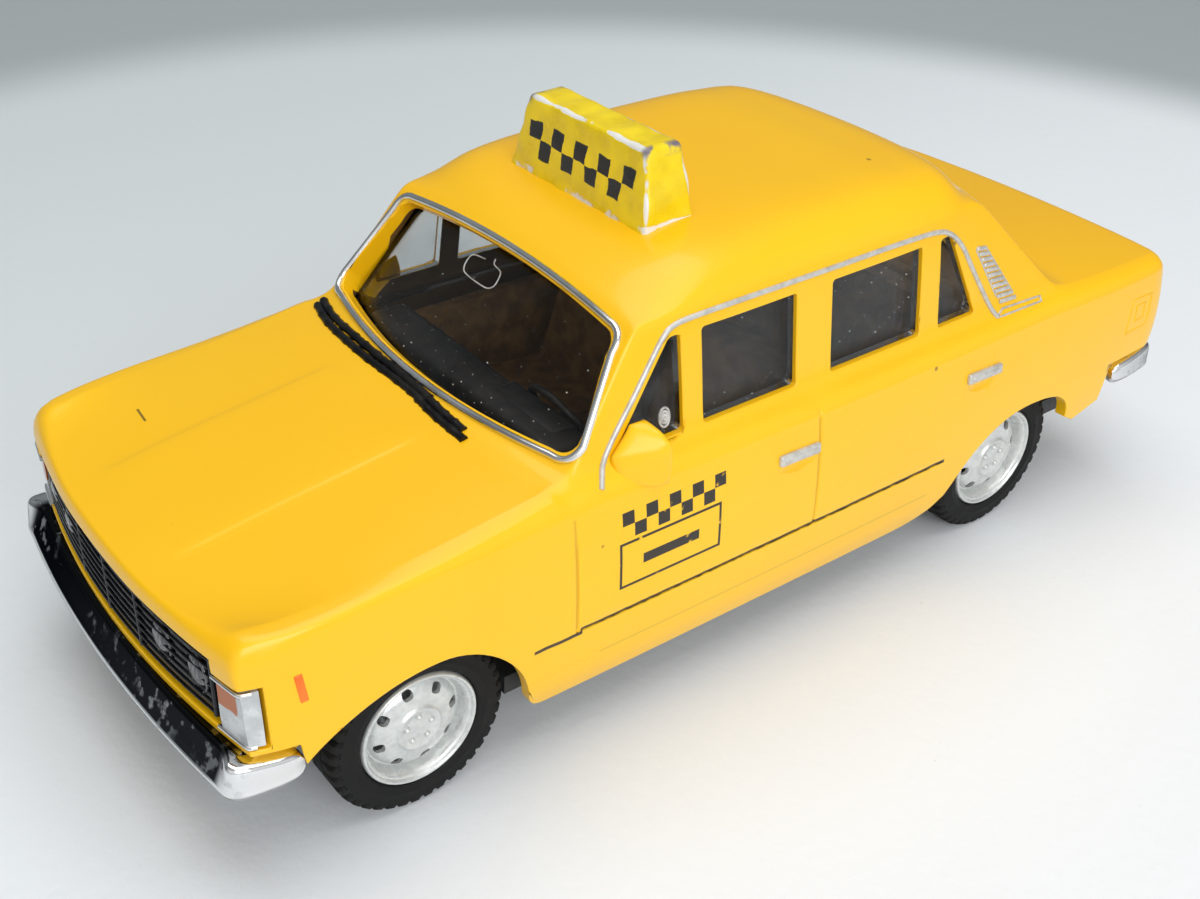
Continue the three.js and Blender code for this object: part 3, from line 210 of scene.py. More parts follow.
def added(name, bm, smooth=True):
    for face in bm.faces:
        face.smooth = smooth
    mesh = bpy.data.meshes.new(name)
    bm.to_mesh(mesh)
    bm.free()
    made = bpy.data.objects.new(name, mesh)
    scene.collection.objects.link(made)
    return made


table_half, bend, wall_height = 1400, 500, 2000
backdrop = [(-table_half - bend, bend + wall_height)]
for turn in [pi / 2 * k / 8 for k in range(8, -1, -1)]:
    backdrop.append((-table_half - bend * sin(turn), bend - bend * cos(turn)))
backdrop.append((table_half, 0))
table_top = bmesh.new()
patch(table_top, [-table_half, table_half], backdrop, lambda x, point: Vector((x, *point)))
table = added("table_top", table_top, smooth=False)
lamps = [
    lamp("overhead_lamp", (0.5, 0.36), 1.15, (-0.02, 0.0, 0.42), (0, 0, 0.01)),
    lamp("camera_side_lamp", (0.34, 0.3), 1.15, (0.14, 0.42, 0.24), (0, 0, 0.015)),
]
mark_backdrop(table, *lamps)
paper = Finish("table_paper", Roughness=0.7)
spot = paper.spot()
from_middle = [paper.math("POWER", paper.math("ADD", spot[axis], 5.0), 2.0) for axis in "XY"]
past_rim = paper.spread(paper.math("SQRT", paper.math("ADD", *from_middle)), 126.0, 152.0)
# Painted light: the paper is painted lighter towards the camera's side.
painted_light_nearness = paper.spread(paper.math("SUBTRACT", spot["Y"], paper.times(spot["X"], 0.25)), -130.0, 40.0)
sheet = paper.mixed(painted_light_nearness, (0.62, 0.675, 0.68), (0.81, 0.845, 0.875))
sheet = paper.mixed(past_rim, sheet, (0.38, 0.42, 0.43))
fibre = paper.cloud(900.0, Low=0.72, High=0.8)
paper.colour(paper.times(fibre["Share"], 0.3), sheet, (0.45, 0.46, 0.48))
paper.bump(fibre["Height"], 0.2, 0.0002)
table.data.materials.append(paper.material)

world = bpy.data.worlds.new("studio_room")
world.use_nodes = True
scene.world = world
room = Graph(world.node_tree)
way = room.node("ShaderNodeTexCoord").outputs["Generated"]
toward = room.node("ShaderNodeVectorMath", {0: way, 1: (0.35, 0.93, 0.1)}, operation="DOT_PRODUCT").outputs["Value"]
walls = room.mixed(room.spread(toward, -0.2, 0.7), (0.17, 0.175, 0.18), (0.75, 0.755, 0.76))
height = room.node("ShaderNodeSeparateXYZ", {0: way}).outputs["Z"]
glow = world.node_tree.nodes["Background"].inputs
room.feed(room.mixed(room.spread(height, 0.5, 0.9), walls, (0.34, 0.34, 0.345)), glow["Color"])
glow["Strength"].default_value = 1.0

# Cast body: one zinc casting of the hood, wings, doors, roof and trunk, sprayed with thick glossy yellow
# paint that rounds every edge. Its lines are the ones that the moulding tool follows, read at any inset.
sides = (("left", 1), ("right", -1))
axle_front, axle_rear = 32.1, -27.1
nose_x, nose_corner, nose_bow = 47.1, 45.21, 1.89
tail_x, tail_corner, tail_bow = -48.05, -47.25, 0.8
body_half, end_half = 18.75, 17.0
floor_z, shoulder_z, shoulder_in = 3.8, 20.6, 0.75
cowl_x, cowl_bow, cowl_z, belt_front_z = 21.7, 2.2, 22.75, 22.5
screen_top_x, screen_top_bow, screen_top_half = 12.8, 0.4, 14.6
rear_base_x, rear_base_bow = -32.8, 1.1
rear_top_x, rear_top_bow, rear_top_half = -24.0, 1.6, 13.9
belt_rear_z, trunk_front_z, trunk_tail_z, trunk_ridge_z = 21.9, 22.6, 21.35, 21.1
hood_nose_z, hood_ridge_z, wing_crest = 19.25, 20.25, 7
drip_z, drip_end_z, roof_rise, screen_crown = 31.6, 31.2, 2.85, 0.65
belt_share, glass_shift = 0.912, 0.4
wall, step_in, groove_deep, far = 1.1, 1.7, 0.16, 60
front_step_x, front_step_z, rear_step_x, rear_step_z = 41.4, 12.15, -40.1, 13.2
crease_deep, crease_share = 0.09, (0.325, 0.36)
hood_shut, door_front, door_middle, door_bottom = 0.913, 0.951, 0.427, 11.2
door_rear_x, door_front_x = -17.6, 20.1
deck_level, hood_groove_share, door_groove_share = 21, 0.9, 0.93
reach, screen_reach, grille_back, tail_back, tail_corner_back = 30, 5.2, 43.1, 4, -46.45
nose_soft, tail_soft = (43.4, 17.3), (-46.4, 19.2)
weld, sliver, cavity_near = 0.012, 0.004, 0.03


def lerp(a, b, t):
    return a + (b - a) * t


def smoothstep(x, low, high):
    t = min(max((x - low) / (high - low), 0), 1)
    return t * t * (3 - 2 * t)


def smooth_line(*points):
    points = sorted(points)
    last = len(points) - 1

    def read(t):
        t = min(max(t, points[0][0]), points[last][0])
        i = next(k for k in range(1, last + 1) if t <= points[k][0])
        (t0, v0), (t1, v1) = points[i - 1], points[i]
        tp, vp = points[i - 2] if i > 1 else points[i]
        tn, vn = points[i + 1] if i < last else points[i - 1]
        wp, wn = (t1 - t0) / 2 / (t0 - tp), (t1 - t0) / 2 / (tn - t1)
        p = (t - t0) / (t1 - t0)
        q, r = p * p, p * p * p
        start = vp * (2 * wp * q - wp * r - wp * p) + v0 * ((1 + wp) * r - (1.5 + 2 * wp) * q + (wp - 0.5) * p + 1)
        return start + v1 * ((1.5 + wn) * q - (1 + wn) * r + 0.5 * p) + vn * wn * (r - q)

    return read


half_width = smooth_line(*((x, lerp(end_half, body_half, share)) for x, share in (
    (tail_corner, 0), (tail_corner + 1.25, 0.4), (tail_corner + 4, 0.6), (axle_rear, 0.88), (0, 1),
    (axle_front, 0.88), (nose_corner - 4, 0.68), (nose_corner - 1.25, 0.25), (nose_corner, 0),
)))
side_in = smooth_line(
    (3.8, 1.5), (4.9, 1.05), (6.385, 0.45), (8.2, 0.1875), (11.2, 0), (14.96, 0.09), (17.968, 0.36), (20.6, 0.75),
)
front_set = smooth_line((3.8, 2.2), (8.0, 1.4), (12.6, 0.45), (17.58, 0.25), (18.6, 0), (19.2, 0.25), (20.1, 1.1))
rear_set = smooth_line((3.8, 3), (8.6, 1.9), (11.65, 1.1), (13.7, 0.4), (19.4, 0.02), (20.6, 0.25))
hood_ridge = smooth_line((0, 0), (0.25, 0.17), (0.55, 0.45), (0.85, 0.84), (1, 1))
hood_middle = smooth_line((0, 0), (0.08, 0.15), (0.3, 0.42), (0.6, 0.7), (0.9, 0.95), (1, 1))
drip_half = smooth_line((0, screen_top_half), (0.12, 15.0675), (0.45, 15.15), (0.85, 14.775), (1, rear_top_half))
drip_height = smooth_line((0, drip_end_z), (0.35, drip_z), (0.65, drip_z), (1, drip_end_z))
roof_bulge = smooth_line(
    (0, screen_crown), (0.06, 0.54 * roof_rise), (0.16, 0.85 * roof_rise), (0.35, 0.97 * roof_rise),
    (0.6, roof_rise), (0.8, roof_rise), (0.92, 0.85 * roof_rise), (1, screen_crown),
)
ledge_rise = smooth_line((0, 0), (1 - 0.985, 0.42), (1 - 0.955, 0.78), (1 - belt_share, 1))


def shoulder_at(x, inset):
    drop = 0.5 * smoothstep(x, axle_front, nose_corner) + 0.4 * smoothstep(-x, -axle_rear, -tail_corner)
    return shoulder_z - inset - drop


def column_x(zone, s, share, z, inset):
    screen_base = cowl_x - cowl_bow * (share / belt_share) ** 2 - glass_shift * inset
    rear_base = rear_base_x + rear_base_bow * (share / belt_share) ** 2 + glass_shift * inset
    if zone == "hood":
        return lerp(nose_x - nose_bow * share ** 2 - front_set(z + inset) - inset, screen_base, s)
    if zone == "trunk":
        return lerp(rear_base, tail_x + tail_bow * share ** 2 + rear_set(z + inset) + inset, s)
    return lerp(screen_base, rear_base, s)


def edge_x(zone, s, inset):
    return column_x(zone, s, 1, shoulder_z - inset, inset)


def side_point(zone, s, level, share, inset):
    x = edge_x(zone, s, inset)
    low = floor_z - inset
    z = low + (level - floor_z) / (shoulder_z - floor_z) * (shoulder_at(x, inset) - low)
    return Vector((column_x(zone, s, share, z, inset), (half_width(x) - side_in(level) - inset) * share, z))


def deck_z(zone, s, share, inset):
    crown = 1 - min(share / belt_share, 1) ** (lerp(wing_crest, 2, smoothstep(s, 0, 0.6)) if zone == "hood" else 2)
    if zone == "hood":
        ridge = lerp(hood_ridge_z, belt_front_z, hood_ridge(s))
        crease = crease_deep * smoothstep(share, *crease_share)
        crease *= smoothstep(s, 0.02, 0.12) * smoothstep(1 - s, 0.09, 0.2)
        return lerp(ridge, lerp(hood_nose_z, cowl_z, hood_middle(s)), crown) - crease - inset
    return lerp(lerp(belt_rear_z, trunk_ridge_z, s), lerp(trunk_front_z, trunk_tail_z, s), crown) - inset


def deck_point(zone, s, share, inset):
    x = edge_x(zone, s, inset)
    rise = ledge_rise(1 - share)
    if zone == "cabin":
        z = lerp(shoulder_at(x, inset), lerp(belt_front_z, belt_rear_z, s) - inset, rise)
    elif share > belt_share:
        z = lerp(shoulder_at(x, inset), deck_z(zone, s, belt_share, inset), rise)
    else:
        z = deck_z(zone, s, share, inset)
    return Vector((column_x(zone, s, share, z, inset), (half_width(x) - shoulder_in - inset) * share, z))


def roof_point(c, share, inset):
    h = share / belt_share
    square = lerp(2, 10, smoothstep(c, 0, 0.16) * smoothstep(1 - c, 0, 0.12))
    front = screen_top_x + screen_top_bow * h * h - glass_shift * inset
    rear = rear_top_x + rear_top_bow * h * h + glass_shift * inset
    z = drip_height(c) + roof_bulge(c) * (1 - h ** square) - inset
    return Vector((lerp(front, rear, c), (drip_half(c) - inset) * h, z))


def glass_point(zone, s, c, g, share, inset):
    return deck_point(zone, s, share, inset).lerp(roof_point(c, share, inset), g)


def eased(count, power=1.0, flip=False):
    steps = [(i / count) ** power for i in range(count + 1)]
    return [1 - t for t in reversed(steps)] if flip else steps


def with_grooves(steps, grooves, half):
    lines = [g + k * half for g in grooves for k in (-1, 0, 1)]
    return sorted([t for t in steps if all(abs(t - line) > 0.8 * half for line in lines)] + lines)


def whole(bm):
    bmesh.ops.remove_doubles(bm, verts=bm.verts, dist=1e-6)
    bmesh.ops.mirror(bm, geom=bm.verts[:] + bm.edges[:] + bm.faces[:], merge_dist=1e-6, axis="Y")
    bmesh.ops.remove_doubles(bm, verts=bm.verts, dist=1e-6)
    bmesh.ops.dissolve_degenerate(bm, edges=bm.edges, dist=1e-7)
    bmesh.ops.recalc_face_normals(bm, faces=bm.faces)


def cabin_shell(bm, steps, rows, roof, inset):
    shares = [belt_share * h for h in roof]
    patch(bm, steps, rows, lambda c, g: glass_point("cabin", c, c, g, belt_share, inset))
    patch(bm, steps, shares, lambda c, share: roof_point(c, share, inset))
    patch(bm, rows, shares, lambda g, share: glass_point("hood", 1, 0, g, share, inset))
    patch(bm, rows[::-1], shares, lambda g, share: glass_point("trunk", 0, 1, g, share, inset))
    whole(bm)
    return bm


def drawn_in(zone, s, level, share, inset):
    x = edge_x(zone, s, 0)
    if (x > front_step_x and level < front_step_z) or (x < rear_step_x and level < rear_step_z):
        return inset + step_in
    if inset:
        return inset
    on_side = level >= door_bottom and share > door_groove_share
    grooved = (
        ((zone, s) == ("hood", hood_shut) and share < hood_groove_share and level == deck_level)
        or ((zone, s) in (("hood", door_front), ("cabin", door_middle)) and on_side)
        or (level == door_bottom and share == 1 and door_rear_x < x < door_front_x)
    )
    return groove_deep if grooved else 0


def skin(inset, grid):
    bm = bmesh.new()
    levels, ledge = grid["levels"], grid["ledge"]
    shares = ledge + [belt_share * h for h in grid["roof"][1:]]
    for zone in ("hood", "cabin", "trunk"):
        steps, deck = grid[zone], ledge if zone == "cabin" else shares
        patch(bm, steps, levels, lambda s, level: side_point(zone, s, level, 1, drawn_in(zone, s, level, 1, inset)))
        patch(bm, steps, deck,
              lambda s, share: deck_point(zone, s, share, drawn_in(zone, s, deck_level, share, inset)))

        def below(s, share):
            low = drawn_in(zone, s, floor_z, 1, inset)
            point = side_point(zone, s, floor_z, share, low)
            ends = {"hood": (share, 1), "cabin": (1, 1), "trunk": (1, share)}[zone]
            start = column_x(zone, 0, ends[0], floor_z - low, low)
            point.x = lerp(start, column_x(zone, 1, ends[1], floor_z - low, low), s)
            return point

        patch(bm, steps[::-1], shares, below)
    for zone, end in (("hood", 0), ("trunk", 1)):
        def cap(level, share):
            if level == levels[-1]:
                return deck_point(zone, end, share, inset)
            return side_point(zone, end, level, share, drawn_in(zone, end, level, 1, inset))

        patch(bm, levels if zone == "hood" else levels[::-1], shares, cap)
    return cabin_shell(bm, grid["cabin"], grid["glass"], grid["roof"], inset)


def relaxed(bm, verts, turns):
    for turn in range(turns):
        bmesh.ops.smooth_vert(bm, verts=verts, factor=0.5, use_axis_x=True, use_axis_y=True, use_axis_z=True)


step_edges = [front_step_z - 0.02, front_step_z, rear_step_z - 0.02, rear_step_z]
body_levels = [
    3.8, 4.9, 5.9, 7.0, 8.2, 9.4, 10.3, 12.2, 14.0, 15.0, 16.0, 17.0, 17.9, 18.6, 19.2, 19.7, 20.1, 20.4, 20.6,
]
fine_grid = {
    "hood": with_grooves(eased(44, 1.35), [hood_shut, door_front], 0.005),
    "cabin": with_grooves([t - 0.09 * sin(2 * pi * t) for t in eased(58)], [door_middle], 0.0028),
    "trunk": eased(30, 1.35, True),
    "levels": sorted(with_grooves(body_levels, [door_bottom], 0.14) + step_edges),
    "ledge": [1, 0.9945, 0.987, 0.976, 0.962, 0.945, 0.928, belt_share],
    "roof": [1, 0.997, 0.991, 0.982, 0.97, 0.955, 0.936, 0.912, 0.88, 0.84, 0.79, 0.72, 0.63, 0.52, 0.44, 0.395,
             0.376, 0.356, 0.3, 0.16, 0],
    "glass": eased(14),
}
rough_grid = {
    "hood": eased(10), "cabin": eased(14), "trunk": eased(8),
    "levels": sorted([3.8, 8.2, 14.0, 18.0, 20.6] + step_edges),
    "ledge": [1, 0.96, belt_share], "roof": [1, 0.97, 0.88, 0.7, 0.4, 0], "glass": eased(3),
}
wing_crest_z, deck_crest_z, wing_rear_x = 19.3, 21.3, 20
body_skin = skin(0, fine_grid)
edge_verts = set()
for edge in body_skin.edges:
    first = edge.verts[0].co / mm
    if edge.calc_face_angle(0) > radians(20) and first.z > (wing_crest_z if first.x > wing_rear_x else deck_crest_z):
        edge_verts.update(edge.verts)
for ring in range(2):
    edge_verts |= {e.other_vert(v) for v in edge_verts for e in v.link_edges}
relaxed(body_skin, list(edge_verts), 9)
nose_verts = [v for v in body_skin.verts if v.co.x > nose_soft[0] * mm and v.co.z > nose_soft[1] * mm]
tail_verts = [v for v in body_skin.verts if v.co.x < tail_soft[0] * mm and v.co.z > tail_soft[1] * mm]
relaxed(body_skin, nose_verts + tail_verts, 12)
skin_tree = BVHTree.FromBMesh(body_skin)
body = added("cast_body", body_skin)


def carved(target, tool, operation="DIFFERENCE"):
    if isinstance(tool, bmesh.types.BMesh):
        tool = added("tool", tool)
    cut = target.modifiers.new("cut", "BOOLEAN")
    cut.operation, cut.solver, cut.object = operation, "MANIFOLD", tool
    graph = bpy.context.evaluated_depsgraph_get()
    mesh = bpy.data.meshes.new_from_object(target.evaluated_get(graph))
    target.modifiers.clear()
    target.data = mesh
    bpy.data.objects.remove(tool)


def raised(bm, faces, travel):
    made = bmesh.ops.extrude_face_region(bm, geom=faces)["geom"]
    bmesh.ops.translate(bm, vec=travel, verts=[g for g in made if isinstance(g, bmesh.types.BMVert)])


def prism(outline, place, reach, corner=0.0):
    bm = bmesh.new()
    face = bm.faces.new([bm.verts.new(mm * place(a, b, -reach)) for a, b in outline])
    if corner:
        bmesh.ops.bevel(bm, geom=bm.verts[:], offset=corner * mm, offset_type="OFFSET", affect="VERTICES",
                        segments=5, profile=0.5, material=-1)
        face = bm.faces[:][0]
    raised(bm, [face], mm * (place(0, 0, reach) - place(0, 0, -reach)))
    bmesh.ops.recalc_face_normals(bm, faces=bm.faces)
    return bm


def across_car(x, z, y):
    return Vector((x, y, z))


def box_tool(*limits):
    bm = bmesh.new()
    bmesh.ops.create_cube(bm, size=1)
    for vert in bm.verts:
        vert.co = mm * Vector([lerp(*sorted(limits[2 * k:2 * k + 2]), vert.co[k] + 0.5) for k in range(3)])
    return bm


def bezier(*points, count=14):
    drawn = []
    for i in range(count + 1):
        row = [Vector(p) for p in points]
        while len(row) > 1:
            row = [a.lerp(b, i / count) for a, b in zip(row, row[1:])]
        drawn.append(tuple(row[0]))
    return drawn


cavity = skin(wall, rough_grid)
cavity_tree = BVHTree.FromBMesh(cavity)
carved(body, cavity)

lower_edge = [(far, -20), (far, 8.0), (42.58, 8.0)]
lower_edge += bezier((41.2, 10.0), (39.68, 11.9), (35.9, 13.8), (31.4, 13.8))
lower_edge += bezier((31.4, 13.8), (28.3, 13.8), (24.61, 11.05), (24.04, 6.92))[1:]
lower_edge += bezier((24.04, 6.92), (23.66, 4.9), (22.14, 4.9), count=6)[1:]
lower_edge += bezier((-13.7, 4.9), (-17.89, 4.9), (-19.67, 7.96))
lower_edge += bezier((-19.67, 7.96), (-22.53, 12.8), (-28.24, 12.8))[1:]
lower_edge += bezier((-28.24, 12.8), (-31.92, 12.8), (-34.2, 11.78), (-34.2, 9.4))[1:]
lower_edge += [(-35.58, 8.6), (-41.85, 10.2), (-far, 10.2), (-far, -20)]
carved(body, prism(lower_edge, across_car, reach))

window_sill, window_head, window_corner = 22.75, 29.9, 0.3
windows = [
    [(a, window_sill), (b, window_sill), (c, window_head), (d, window_head)] for a, b, c, d in (
        (9.65, 15.9, 10.6, 9.65), (-1.2, 7.8, 7.8, -1.2), (-14.5, -4.8, -4.8, -14.5), (-21.1, -16.7, -16.7, -18.0))
]
for outline in windows:
    carved(body, prism(outline, across_car, reach, window_corner))


def screen_outline(base, top, margin, foot_margin, corner=1.7):
    (low_x, low_z, base_x, base_y, base_z), (high_x, high_z, top_x, top_y, top_z) = base, top
    foot = Vector((low_x, 0, low_z))
    rise = (Vector((high_x, 0, high_z)) - foot).normalized()
    low = (Vector((base_x, 0, base_z)) - foot).dot(rise) + foot_margin
    high = (Vector((top_x, 0, top_z)) - foot).dot(rise) - margin
    crest = (Vector((high_x, 0, high_z)) - foot).dot(rise) - margin
    low_half, high_half = base_y - foot_margin, top_y - margin
    outline = bezier((corner - low_half, low), (0, 2 * foot_margin - low), (low_half - corner, low), count=24)
    outline += bezier((low_half - corner, low), (low_half, low), (low_half, low + corner), count=6)[1:]
    outline += bezier((high_half, high - corner), (high_half, high), (high_half - corner, high), count=6)
    outline += bezier((high_half - corner, high), (0, 2 * crest - high), (corner - high_half, high), count=24)[1:]
    outline += bezier((corner - high_half, high), (-high_half, high), (-high_half, high - corner), count=6)[1:]
    outline += bezier((-low_half, low + corner), (-low_half, low), (corner - low_half, low), count=6)[:-1]
    normal = Vector((0, 1, 0)).cross(rise)
    return outline, lambda a, b, depth: foot + a * Vector((0, 1, 0)) + b * rise + depth * normal


def glass_corners(base_x, edge, base_z, belt_z, top_x, top_bow, top_half):
    base = (base_x, base_z, edge, (half_width(edge) - shoulder_in) * belt_share, belt_z)
    return base, (top_x, drip_end_z + screen_crown, top_x + top_bow, top_half, drip_end_z)


screen_corners = glass_corners(
    cowl_x, cowl_x - cowl_bow, cowl_z, belt_front_z, screen_top_x, screen_top_bow, screen_top_half)
backlight_corners = glass_corners(
    rear_base_x, rear_base_x + rear_base_bow, trunk_front_z, belt_rear_z, rear_top_x, rear_top_bow, rear_top_half)
screen_frame, screen_foot, backlight_frame = 0.95, 0.85, 1.5
for corners, *margins in ((screen_corners, screen_frame, screen_foot),
                          (backlight_corners, backlight_frame, backlight_frame)):
    outline, place = screen_outline(*corners, *margins)
    carved(body, prism(outline, place, screen_reach))

grille_half, grille_low, grille_high = 14.4, 12.6, 18.2
lamp_x, lamp_low, lamp_high = 43.4, 12.3, 17.1
tail_low, tail_high, tail_inner, tail_outer = 13.7, 19.5, 10.6, 16.2
tail_span = (tail_low + 0.7, tail_high - 0.4)
carved(body, box_tool(grille_back, far, -grille_half - 0.15, grille_half + 0.15, grille_low, grille_high))
for _, side in sides:
    carved(body, box_tool(lamp_x, far, side * grille_half, side * far, lamp_low, lamp_high))
    carved(body, box_tool(-far, tail_x + tail_back, side * tail_inner, side * tail_outer, *tail_span))
    carved(body, box_tool(-far, tail_corner_back, side * 16, side * far, *tail_span))


def struck(tree, start, way, proud=0.0):
    spot, normal, _, _ = tree.ray_cast(mm * Vector(start), Vector(way))
    return spot / mm + proud * normal, normal


def on_flank(x, z, side, proud=0.0):
    return struck(skin_tree, (x, side * far, z), (0, -side, 0), proud)


for _, side in sides:
    for x, z in ((-0.2, 17.35), (-21.0, 17.3)):
        scoop = bmesh.new()
        bmesh.ops.create_uvsphere(scoop, u_segments=32, v_segments=20, radius=mm)
        bmesh.ops.scale(scoop, vec=(1.9, 0.36, 0.6), verts=scoop.verts)
        bmesh.ops.translate(scoop, vec=mm * on_flank(x, z, side, 0.2)[0], verts=scoop.verts)
        carved(body, scoop)
joined = bmesh.new()
joined.from_mesh(body.data)
bmesh.ops.remove_doubles(joined, verts=joined.verts, dist=weld * mm)
bmesh.ops.dissolve_degenerate(joined, edges=joined.edges, dist=sliver * mm)
for face in joined.faces:
    face.smooth = True
joined.to_mesh(body.data)
joined.free()

painted_patch, given, result = effect(
    "painted_patch",
    {"Along": 0.0, "Start": 0.0, "End": 1.0, "Up": 0.0, "Foot": 0.0, "Head": 1.0, "Soft": 0.05}, ["Mask"])
limits = []
for value, low, high in (("Along", "Start", "End"), ("Up", "Foot", "Head")):
    for edge, ends in ((low, (0.0, 1.0)), (high, (1.0, 0.0))):
        inner, outer = (painted_patch.math(step, given[edge], given["Soft"]) for step in ("SUBTRACT", "ADD"))
        limits.append(painted_patch.spread(given[value], inner, outer, *ends))
painted_patch.feed(painted_patch.times(*limits), result["Mask"])

chequer_print, given, result = effect(
    "chequer_print", {"Along": 0.0, "Start": 0.0, "Up": 0.0, "Foot": 0.0, "Square": 1.0}, ["Mask"])
counts = []
for value, edge in (("Along", "Start"), ("Up", "Foot")):
    run = chequer_print.math("SUBTRACT", given[value], given[edge])
    counts.append(chequer_print.math("FLOOR", chequer_print.math("DIVIDE", run, given["Square"])))
chequer_print.feed(chequer_print.math("FLOORED_MODULO", chequer_print.math("ADD", *counts), 2.0), result["Mask"])

fine_specks, given, result = effect(
    "fine_specks", {"Place": None, "Scale": 330.0, "Size": 0.07, "Rarity": 0.9}, ["Mask"])
cells = {"Vector": given["Place"], "Scale": given["Scale"]}
grains = fine_specks.node("ShaderNodeTexVoronoi", cells, feature="F1").outputs
chance = fine_specks.node("ShaderNodeSeparateXYZ", {0: grains["Color"]}).outputs[0]
core = fine_specks.times(given["Size"], 0.6)
near_grain = fine_specks.spread(grains["Distance"], core, given["Size"], 1.0, 0.0)
chosen = fine_specks.math("GREATER_THAN", chance, given["Rarity"])
fine_specks.feed(fine_specks.times(near_grain, chosen), result["Mask"])

paint = Finish("yellow_paint", Roughness=0.32, IOR=1.4, Coat_Weight=0.3, Coat_Roughness=0.1)
spot = paint.spot()
on_flanks = paint.math("GREATER_THAN", paint.math("ABSOLUTE", spot["Y"]), 17.7)
ragged = paint.math("ADD", spot["Z"], paint.times(paint.cloud(900.0)["Height"], 0.16))


def printed(start, end, foot, head, soft=0.05, up=spot["Z"]):
    return paint.band(spot["X"], start, end, up, foot, head, soft)


# Painted shade: a dark brown line along the groove at the foot of the doors, a little lower in front, stands for the
# groove's shade.
door_foot_shade = paint.math("MAXIMUM", printed(-17.6, 19.95, 11.12, 11.46, up=ragged),
                    printed(19.8, 23.9, 10.85, 11.15, up=ragged))
board_start, board_end, board_foot, board_head, crisp = 6.9, 16.35, 17.25, 19.35, 0.03
squares = paint.times(paint.chequers(spot["X"], board_start, spot["Z"], board_foot, 1.05),
                      printed(board_start, board_end, board_foot, board_head, crisp))
border = paint.math("SUBTRACT", printed(7.3, 16.65, 13.22, 17.0, crisp),
                    printed(7.52, 16.43, 13.44, 16.78, crisp), clamp=True)
door_print = paint.math("MAXIMUM", paint.math("MAXIMUM", squares, border), printed(9.4, 14.55, 14.7, 15.5, crisp))
# Painted shade: an olive line along the sill crease and olive lines down the two door seams darken them where shade
# falls.
layers = [(printed(-16.4, 18.0, 8.08, 8.26, 0.08), 0.35, (0.32, 0.24, 0.01))]
for seam_x in (edge_x("hood", door_front, 0), edge_x("cabin", door_middle, 0)):
    layers.append((printed(seam_x - 0.1, seam_x + 0.1, 11.3, 20.3, 0.1), 0.4, (0.32, 0.2, 0.005)))
layers.append((door_foot_shade, 1.0, (0.035, 0.022, 0.008)))
layers.append((door_print, paint.cloud(1400.0, Low=0.24, High=0.36)["Share"], (0.02, 0.014, 0.008)))
surface = paint.mixed(paint.cloud(26.0, Low=0.25, High=0.75)["Share"], (0.93, 0.5, 0.003), (0.95, 0.545, 0.006))
for mask, share, tone in layers:
    surface = paint.mixed(paint.times(mask, share, on_flanks), surface, tone)
scratch_x = paint.math("SUBTRACT", spot["X"], paint.times(spot["Y"], 0.09))
scratch = paint.band(scratch_x, 39.6, 39.78, spot["Y"], -11.3, -9.4)
surface = paint.mixed(paint.times(scratch, 0.85), surface, (0.1, 0.05, 0.01))
paint.colour(paint.times(paint.specks(330.0, 0.085, 0.94), 0.7), surface, (0.14, 0.07, 0.01))
paint.bump(paint.cloud(700.0, Detail=2.0)["Height"], 0.05)
# Painted shade: the faces inside the casting are painted dark brown, standing for the shade inside the body.
cavity_shade = Finish("cavity_painted_shade", Roughness=0.6).clouded(120.0, (0.1, 0.05, 0.012), (0.18, 0.09, 0.018))


def dressed(name, piece, finish, slot, *nodes, rides="car_body", sharp=None):
    if isinstance(piece, bmesh.types.BMesh):
        bmesh.ops.recalc_face_normals(piece, faces=piece.faces)
        piece = added(name, piece)
    piece.name = piece.data.name = name
    piece.data.materials.clear()
    piece.data.materials.append(finish.material)
    if sharp:
        piece.data.set_sharp_from_angle(angle=radians(sharp))
    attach(piece, rides)
    if nodes:
        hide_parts(*nodes)
    return piece


def rounded(piece, name, width, angle):
    soft = piece.modifiers.new(name, "BEVEL")
    soft.width, soft.segments, soft.limit_method, soft.angle_limit = width * mm, 2, "ANGLE", radians(angle)
    return soft


dressed("cast_body", body, paint, "yellow_paint", "body_shell", sharp=42)
# The faces close to the cavity take the painted shade of the inside.
body.data.materials.append(cavity_shade.material)
for face in body.data.polygons:
    face.material_index = int(cavity_tree.find_nearest(face.center)[3] < cavity_near * mm)
rounded(body, "paint_soft_edges", 0.08, 48).use_clamp_overlap = False
body.modifiers.new("even_shade", "WEIGHTED_NORMAL").keep_sharp = True

# Door mirrors: two cast lumps at the front corners of the side windows, in the body's yellow paint. Each is a
# hull of a few corners, smoothed all round and cut back where it would reach into the cabin.
mirror_corners = (
    (14.75, 16.1, 25.3), (16.9, 16.4, 23.1), (16.5, 17.2, 21.2), (13.2, 18.65, 23.6), (12.92, 18.65, 20.5),
    (13.3, 16.1, 25.3), (12.5, 18.65, 24.4), (12.5, 16.1, 20.4), (12.5, 18.65, 20.4),
)
mirrors = bmesh.new()
for _, side in sides:
    lump = bmesh.new()
    for x, y, z in mirror_corners:
        lump.verts.new(mm * Vector((x, side * y, z)))
    bmesh.ops.convex_hull(lump, input=lump.verts[:])
    bmesh.ops.triangulate(lump, faces=lump.faces)
    bmesh.ops.subdivide_edges(lump, edges=lump.edges, cuts=7, use_grid_fill=True)
    relaxed(lump, lump.verts, 6)
    bmesh.ops.recalc_face_normals(lump, faces=lump.faces)
    casting = added("tool", lump)
    carved(casting, skin(wall, rough_grid))
    mirrors.from_mesh(casting.data)
    bpy.data.objects.remove(casting)
dressed("door_mirrors", added("door_mirrors", mirrors), paint, "yellow_paint")

